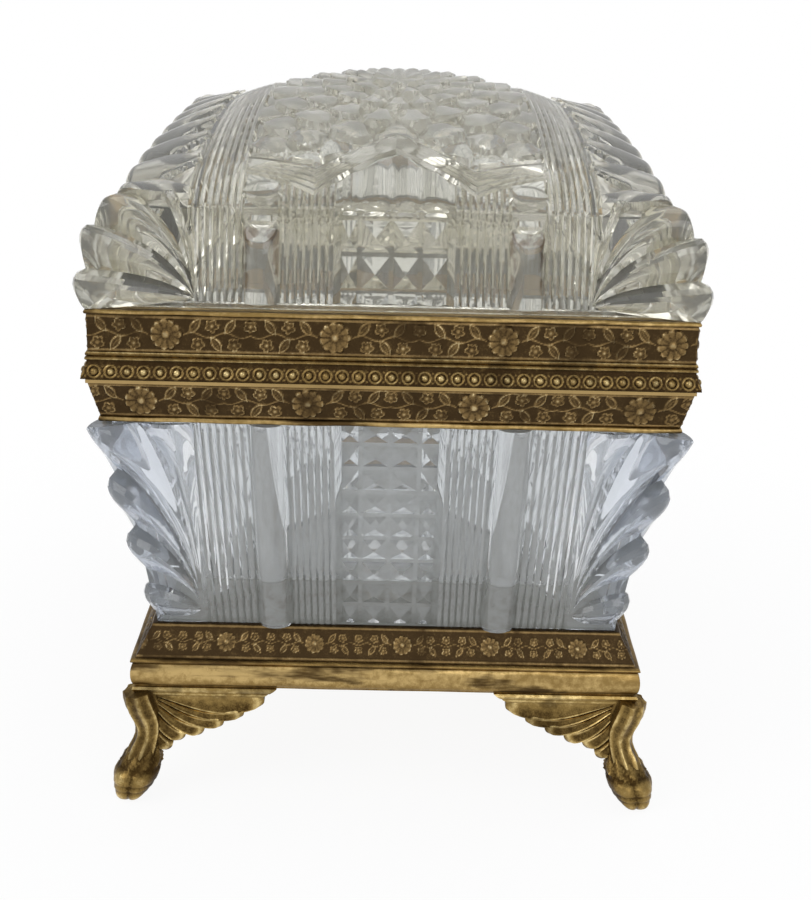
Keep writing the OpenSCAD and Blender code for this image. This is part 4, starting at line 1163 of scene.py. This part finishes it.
strip(
    "lid_top_wire", half_round(LID_FRIEZE + 0.1, FRIEZE_HIGH, LID_RIM_TOP, 0.5),
    [(LID_FRIEZE + FRIEZE_T, LID_RIM_TOP), (LID_FRIEZE + FRIEZE_T, FRIEZE_HIGH)], 0.8,
    worn(0.35, 0.8, 0.6), PALE, "lid", "lid_top_wire",
)
strip(
    "stamped_body_frieze", [(body_back(BODY_LOW) - FRIEZE_T + 0.3, BODY_LOW), (0.3, BODY_HIGH)],
    [(body_back(BODY_HIGH), BODY_HIGH), (body_back(BODY_LOW), BODY_LOW)], PITCH,
    framed_vine(6.6, 28.5, 14.2, 1.04), STAMPED, "body", "body_frieze",
    (keyhole(), barrel_room),
)
strip(
    "body_lower_wire", half_round(body_back(RIM_Z + 0.85) - 0.5, RIM_Z + 0.3, BODY_LOW, 0.7),
    [(body_back(BODY_LOW), BODY_LOW), (body_back(RIM_Z + 0.3), RIM_Z + 0.3)], 0.8,
    worn(0.5, 1.0, 0.9), PALE, "body", "body_lower_wire",
)
strip(
    "stamped_base_frieze", [(BASE_INSET + 1, MOULDING_Z), (BASE_INSET + 4, GLASS_Z)],
    [(BASE_INSET + 5, GLASS_Z), (BASE_INSET + 2, MOULDING_Z)], PITCH,
    framed_vine(6.44, 16.2, 3.0, 0.66), STAMPED, "body", "base_frieze",
)
strip(
    "base_moulding",
    [(BASE_INSET + 0.9, FOOT_H), (BASE_INSET + 0.9, FOOT_H + 0.3)]
    + half_round(BASE_INSET + 0.8, FOOT_H + 0.35, MOULDING_Z - 0.9, 0.75, 13)
    + half_round(BASE_INSET + 0.8, MOULDING_Z - 0.85, MOULDING_Z, 0.7, 7),
    [(BASE_INSET + 2, MOULDING_Z), (BASE_INSET + 2, FOOT_H)], 0.7,
    worn(0.35, 1.0, 2.6), PALE, "body", "base_moulding",
)


# Feet


def round_sweep(path, count=24, lobes=0, depth=0.0):
    """A closed sweep of circles along [x, y, z, radius], as points, faces and tones."""
    path = np.array(path, float)
    ways = np.gradient(path[:, :3], axis=0)
    ways /= np.linalg.norm(ways, axis=1)[:, None]
    side = np.array([-1, 1, 0]) / math.sqrt(2)
    turns = np.linspace(0, 2 * math.pi, count, endpoint=False)
    wave, tone = np.ones(count), np.full(count, 0.5)
    if lobes:
        wave = 1 - depth * (1 - np.abs(np.cos(lobes / 2 * turns)) ** 5)
        tone = 0.25 + 0.7 * (wave - 1 + depth) / depth
    verts = []
    for (x, y, z, r), way in zip(path, ways):
        other = np.cross(way, side)
        circle = np.cos(turns)[:, None] * side + np.sin(turns)[:, None] * other
        verts.append(np.array([x, y, z]) + r * wave[:, None] * circle)
    rows = len(path)
    faces = tube_faces(rows, count)
    faces += [tuple(range(count)), tuple((rows - 1) * count + i for i in range(count))]
    return np.vstack(verts), faces, np.tile(tone, rows)


def foot_point(inset, z):
    """A point on the corner's diagonal, inset from the base's corner."""
    return (hx(BASE_INSET + inset), hy(BASE_INSET + inset), z)


def paw():
    """The rounded end of a foot: a lion's paw with five toes under a curled cuff."""
    rows, count = 40, 72
    la, tu = np.meshgrid(
        np.radians(np.linspace(-90, 90, rows)),
        np.radians(np.linspace(0, 360, count, endpoint=False)), indexing="ij",
    )
    up, level = np.sin(la), np.cos(la)
    out = np.cos(tu - math.radians(45))
    toes = np.abs(np.cos(2.5 * (tu - math.radians(45)))) ** 0.7
    front = np.clip(out + 0.35, 0, 1)
    low = np.clip((0.35 - up) / 0.5, 0, 1)
    relief = 0.5 * toes * front * low
    knuckle = near(up - 0.05, 0.28) * front * toes
    curls = np.clip(up / 0.3 - 0.6, 0, 1) * (0.5 + 0.5 * np.cos(9 * tu + 6 * up))
    wrinkles = near(up + 0.3, 0.07) + near(up + 0.52, 0.06)
    claws = near(up + 0.72, 0.2) * front * toes
    tufts = near(np.cos(5 * tu + 9 * up), 0.45) * np.clip(up / 0.3, 0, 1)
    relief = relief + 0.35 * knuckle + 0.3 * curls + 0.35 * tufts + 0.4 * claws
    relief = relief - 0.4 * near(up - 0.25, 0.08) - 0.3 * wrinkles
    r = 4.1 + relief * level ** 0.4
    stretch = 1 + 0.05 * up
    lean = (-2.3 * up - 0.4 * up ** 2) * math.sqrt(0.5)
    wide = 1.0 + 0.02 * up - 0.1 * up ** 2
    x = r * level * np.cos(tu) * wide + lean
    y = r * level * np.sin(tu) * wide + lean
    z = np.maximum(4.95 + (r + 1.2) * up * stretch, 0.0)
    cx, cy, _ = foot_point(0.8, 0.0)
    verts = np.stack([cx + x, cy + y, z], axis=-1).reshape(-1, 3)
    tones = np.clip(0.05 + 1.1 * relief, 0, 1).reshape(-1)
    return verts, tube_faces(rows, count), tones


# Ends of the feathers: distance from the corner and depth under the base
FEATHERS = ((24.6, 3.6), (20.8, 5.9), (17.0, 8.0), (13.2, 9.9), (9.2, 11.6), (6.2, 14.0))


def wing():
    """A bracket wing on the end face: feathers that spread from the knob at the corner."""
    knob_d, knob_q = 1.6, 2.0
    turns = np.array([math.atan2(q - knob_q, d - knob_d) for d, q in FEATHERS])
    reach = np.array([math.hypot(q - knob_q, d - knob_d) for d, q in FEATHERS])
    edges = np.concatenate([[-0.02], (turns[1:] + turns[:-1]) / 2, [turns[-1] + 0.12]])
    fans = [np.linspace(lo, hi, 14, endpoint=False) for lo, hi in zip(edges[:-1], edges[1:])]
    across = np.concatenate(fans + [edges[-1:]])
    k = np.clip(np.searchsorted(edges, across, side="right") - 1, 0, len(turns) - 1)
    w = (across - (edges[k] + edges[k + 1]) / 2) / ((edges[k + 1] - edges[k]) / 2)
    far = reach[k] * (1 - 0.09 * np.abs(w) ** 2.4)
    rows = 40
    s = np.linspace(0.06, 1, rows)[:, None]
    turn = across + 0.16 * (1 - s) * s * 4 * (across > 0.02)
    d = knob_d + s * far * np.cos(turn)
    q = knob_q + s * far * np.sin(turn)
    rib = np.sqrt(np.clip(1 - w**2, 0, 1))
    tip = near(s - 0.95, 0.06) * (np.abs(w) < 0.8)
    outline = np.maximum(near(np.abs(w) - 0.72, 0.28), tip)
    rise = np.clip(s * 2.2, 0, 1) * (0.55 * rib + 0.35 * outline) + 0.5 * (1 - s)
    tone = np.clip(0.15 + 0.85 * outline + 0.25 * rib * (1 - s), 0, 1)
    x = hx(BASE_INSET + 2.3) + rise * np.clip((1.02 - s) * 14, 0, 1)
    y = hy(BASE_INSET) - d
    z = FOOT_H - q
    front = np.stack([x, y, z], axis=-1)
    back = front.copy()
    back[..., 0] = hx(BASE_INSET + 3.5)
    n = len(across)
    verts = np.vstack([front.reshape(-1, 3), back.reshape(-1, 3)])
    tones = np.concatenate([tone.reshape(-1), 0 * tone.reshape(-1)])
    m = rows * n
    faces = []
    for a in (i * n + j for i in range(rows - 1) for j in range(n - 1)):
        faces += [(a, a + 1, a + n + 1, a + n), (m + a, m + a + n, m + a + n + 1, m + a + 1)]
    for a in (i * n + j for i in range(rows - 1) for j in (0, n - 1)):
        faces.append((a, a + n, m + a + n, m + a))
    for a in (i * n + j for j in range(n - 1) for i in (0, rows - 1)):
        faces.append((a, a + 1, m + a + 1, m + a))
    return verts, faces, tones


def rail():
    """The stepped rail along both faces at a foot's corner, under the base."""
    profile = [
        (3.6, FOOT_H), (0.4, FOOT_H), (0.2, FOOT_H - 0.5), (0.5, FOOT_H - 1.05), (1.0, FOOT_H - 1.15),
        (0.9, FOOT_H - 1.6), (1.3, FOOT_H - 2.2), (3.6, FOOT_H - 2.2),
    ]
    tone = [0.2, 0.7, 1.0, 0.6, 0.1, 0.9, 0.4, 0.1]
    verts = []
    for end_x, end_y in ((False, True), (False, False), (True, False)):
        for i, z in profile:
            run = 27 - 1.2 * (FOOT_H - z)
            verts.append((hx(BASE_INSET + (run if end_x else i)), hy(BASE_INSET + (run if end_y else i)), z))
    n = len(profile)
    faces = tube_faces(3, n) + [tuple(range(n)), tuple(2 * n + i for i in range(n))]
    return np.array(verts), faces, np.array(tone * 3)


# The leg's bends: inset from the base's corner, height and radius
LEG = (
    (1.2, FOOT_H - 1, 2.9), (1.4, 20.4, 3.1), (1.8, 18.6, 3.2), (2.4, 16.6, 3.1), (2.8, 14.8, 2.9),
    (2.9, 13, 2.7), (2.7, 11.4, 2.6), (2.3, 10, 2.7), (1.8, 8.7, 2.9), (1.2, 7.2, 2.9), (0.8, 6, 2.6),
)


def foot_parts():
    """The closed parts of the foot at the +X +Y corner, as points, faces and tones."""
    leg = [foot_point(inset, z) + (r,) for inset, z, r in LEG]
    knob = [
        foot_point(0.2, FOOT_H - 1.6 - k * 0.36) + (max(0.05, 1.2 * math.sqrt(1 - (k / 3.5 - 1) ** 2)),)
        for k in np.linspace(0, 7, 12)
    ]
    front = wing()
    side = (over_corner(front[0]), front[1], front[2])
    block, block_faces = box_solid(foot_point(11.4, FOOT_H - 2.6), foot_point(3.4, FOOT_H))
    return [
        rail(), front, side, round_sweep(leg, 60, 8, 0.13), round_sweep(knob), paw(),
        (np.array(block), block_faces, np.full(len(block), 0.2)),
    ]


def one_foot(node, sx, sy, parts):
    """A foot at one corner, made of the parts mirrored to it."""
    verts, faces, tones = [], [], []
    for points, part_faces, part_tones in parts:
        start = sum(len(p) for p in verts)
        verts.append(np.array(points) * (sx, sy, 1))
        faces += [tuple(start + i for i in face) for face in part_faces]
        tones.append(part_tones)
    piece = loose_solid("cast_" + node, np.vstack(verts), faces, np.concatenate(tones))
    finish_piece(piece, CAST, "body", node, 50)


parts = foot_parts()
for row, sy in (("front", -1), ("back", 1)):
    for side, sx in (("left", -1), ("right", 1)):
        one_foot(f"foot_{row}_{side}", sx, sy, parts)


# Carried-over nodes

NODE_FINISH = (
    (SHEET, (
        "base_plate", "body_collar", "lid_collar", "lock_case", "lock_bolt", "lock_staple",
        "hinge_leaf_body", "hinge_leaf_lid",
    )),
    (PLASTER, ("base_bedding", "body_cement", "lid_cement")),
    (STEEL, ("hinge_pin", "lock_key_pin", "lock_spring", "foot_screws")),
)
for finish, names in NODE_FINISH:
    for name in names:
        nodes[name].data.materials.clear()
        nodes[name].data.materials.append(finish)


# Floor, light and camera


def pale_floor():
    """A white floor. Seen directly, in metal or through glass it glows, less near the casket.

    That keeps the casket's shadow on it.
    """
    mat = Finish("pale_floor")
    rays = (mat.node("LightPath", output=f"Is {kind} Ray") for kind in ("Camera", "Glossy", "Transmission"))
    seen = sum(rays, 0.0)
    far = mat.node("VectorMath", (mat.place(),), output=1, operation="LENGTH")
    glow = mat.ramp(far, 0.06, 0.2) * 0.08 + 0.92
    lit = mat.node("BsdfDiffuse", {"Color": colour(0.8, 0.8, 0.8)})
    white = mat.node("Emission", {"Color": colour(1, 1, 1), "Strength": 1.0})
    mix_ends = mat.node("MixShader", (glow * seen.clamp(), lit, white))
    mat.node("OutputMaterial", {"Surface": mix_ends})
    bpy.ops.mesh.primitive_plane_add(size=40.0, location=(0, 0, 0))
    floor = bpy.context.object
    floor.name = "floor"
    floor.data.materials.append(mat.owner)


def soft_lamp(name, place, aim, size, power):
    """A square lamp turned towards a point."""
    light = bpy.data.lights.new(name, "AREA")
    light.shape, light.size, light.size_y, light.energy = "RECTANGLE", size, size, power
    lamp = bpy.data.objects.new(name, light)
    bpy.context.scene.collection.objects.link(lamp)
    lamp.location = place
    lamp.rotation_euler = (Vector(aim) - Vector(place)).to_track_quat("-Z", "Y").to_euler()


def studio():
    """A soft, even room: pale above, greyer near the horizon, with three large lamps.

    The camera sees plain white behind the casket.
    """
    world = bpy.data.worlds.new("studio")
    bpy.context.scene.world = world
    room = Finish("studio", world)
    up = room.node("SeparateXYZ", (room.node("TexCoord", output="Generated"),), output=2)
    sky = room.blend(room.ramp(up, -0.05, 0.75), colour(0.60, 0.60, 0.60), colour(0.86, 0.88, 0.92))
    light = room.node("Background", {"Color": sky, "Strength": 0.85})
    white = room.node("Background", {"Color": colour(1, 1, 1), "Strength": 1.0})
    behind = room.node("LightPath", output="Is Camera Ray")
    room.node("OutputWorld", {"Surface": room.node("MixShader", (behind, light, white))})
    aim = (0, 0, 0.07)
    soft_lamp("window_light", (0.6, -0.9, 0.9), aim, 0.9, 6)
    soft_lamp("front_light", (1.1, 0.35, 0.45), aim, 0.6, 2.5)
    soft_lamp("top_light", (-0.3, 0.3, 1.2), aim, 0.9, 4)


# The photograph's camera: its place in metres, its lens in pixels of a frame 900 high, its turn
EYE, LENS_PX, FRAME_H = (0.3356, 0.0004, 0.1658), 1645.9, 900
PITCH_DEG, YAW_DEG, ROLL_DEG = 19.33, -0.48, 1.40


def camera_view():
    """The photograph's viewing angle, near one short end and a little above."""
    pitch, yaw, roll = (math.radians(turn) for turn in (PITCH_DEG, YAW_DEG, ROLL_DEG))
    ahead = Vector((-math.cos(yaw), -math.sin(yaw), 0))
    side = Vector((-math.sin(yaw), math.cos(yaw), 0))
    look = ahead * math.cos(pitch) - Vector((0, 0, 1)) * math.sin(pitch)
    down = -ahead * math.sin(pitch) - Vector((0, 0, 1)) * math.cos(pitch)
    right = side * math.cos(roll) - down * math.sin(roll)
    low = side * math.sin(roll) + down * math.cos(roll)
    data = bpy.data.cameras.new("photo_view")
    data.sensor_width, data.lens = 36.0, LENS_PX * 36.0 / FRAME_H
    camera = bpy.data.objects.new("photo_view", data)
    turn = Matrix((right, -low, -look)).transposed()
    camera.matrix_world = Matrix.Translation(EYE) @ turn.to_4x4()
    bpy.context.scene.collection.objects.link(camera)
    bpy.context.scene.camera = camera


pale_floor()
studio()
camera_view()
scene = bpy.context.scene
scene.view_settings.view_transform = "Standard"
scene.cycles.use_denoising = True
scene.cycles.max_bounces = 24
scene.cycles.transmission_bounces = 24
scene.cycles.glossy_bounces = 8
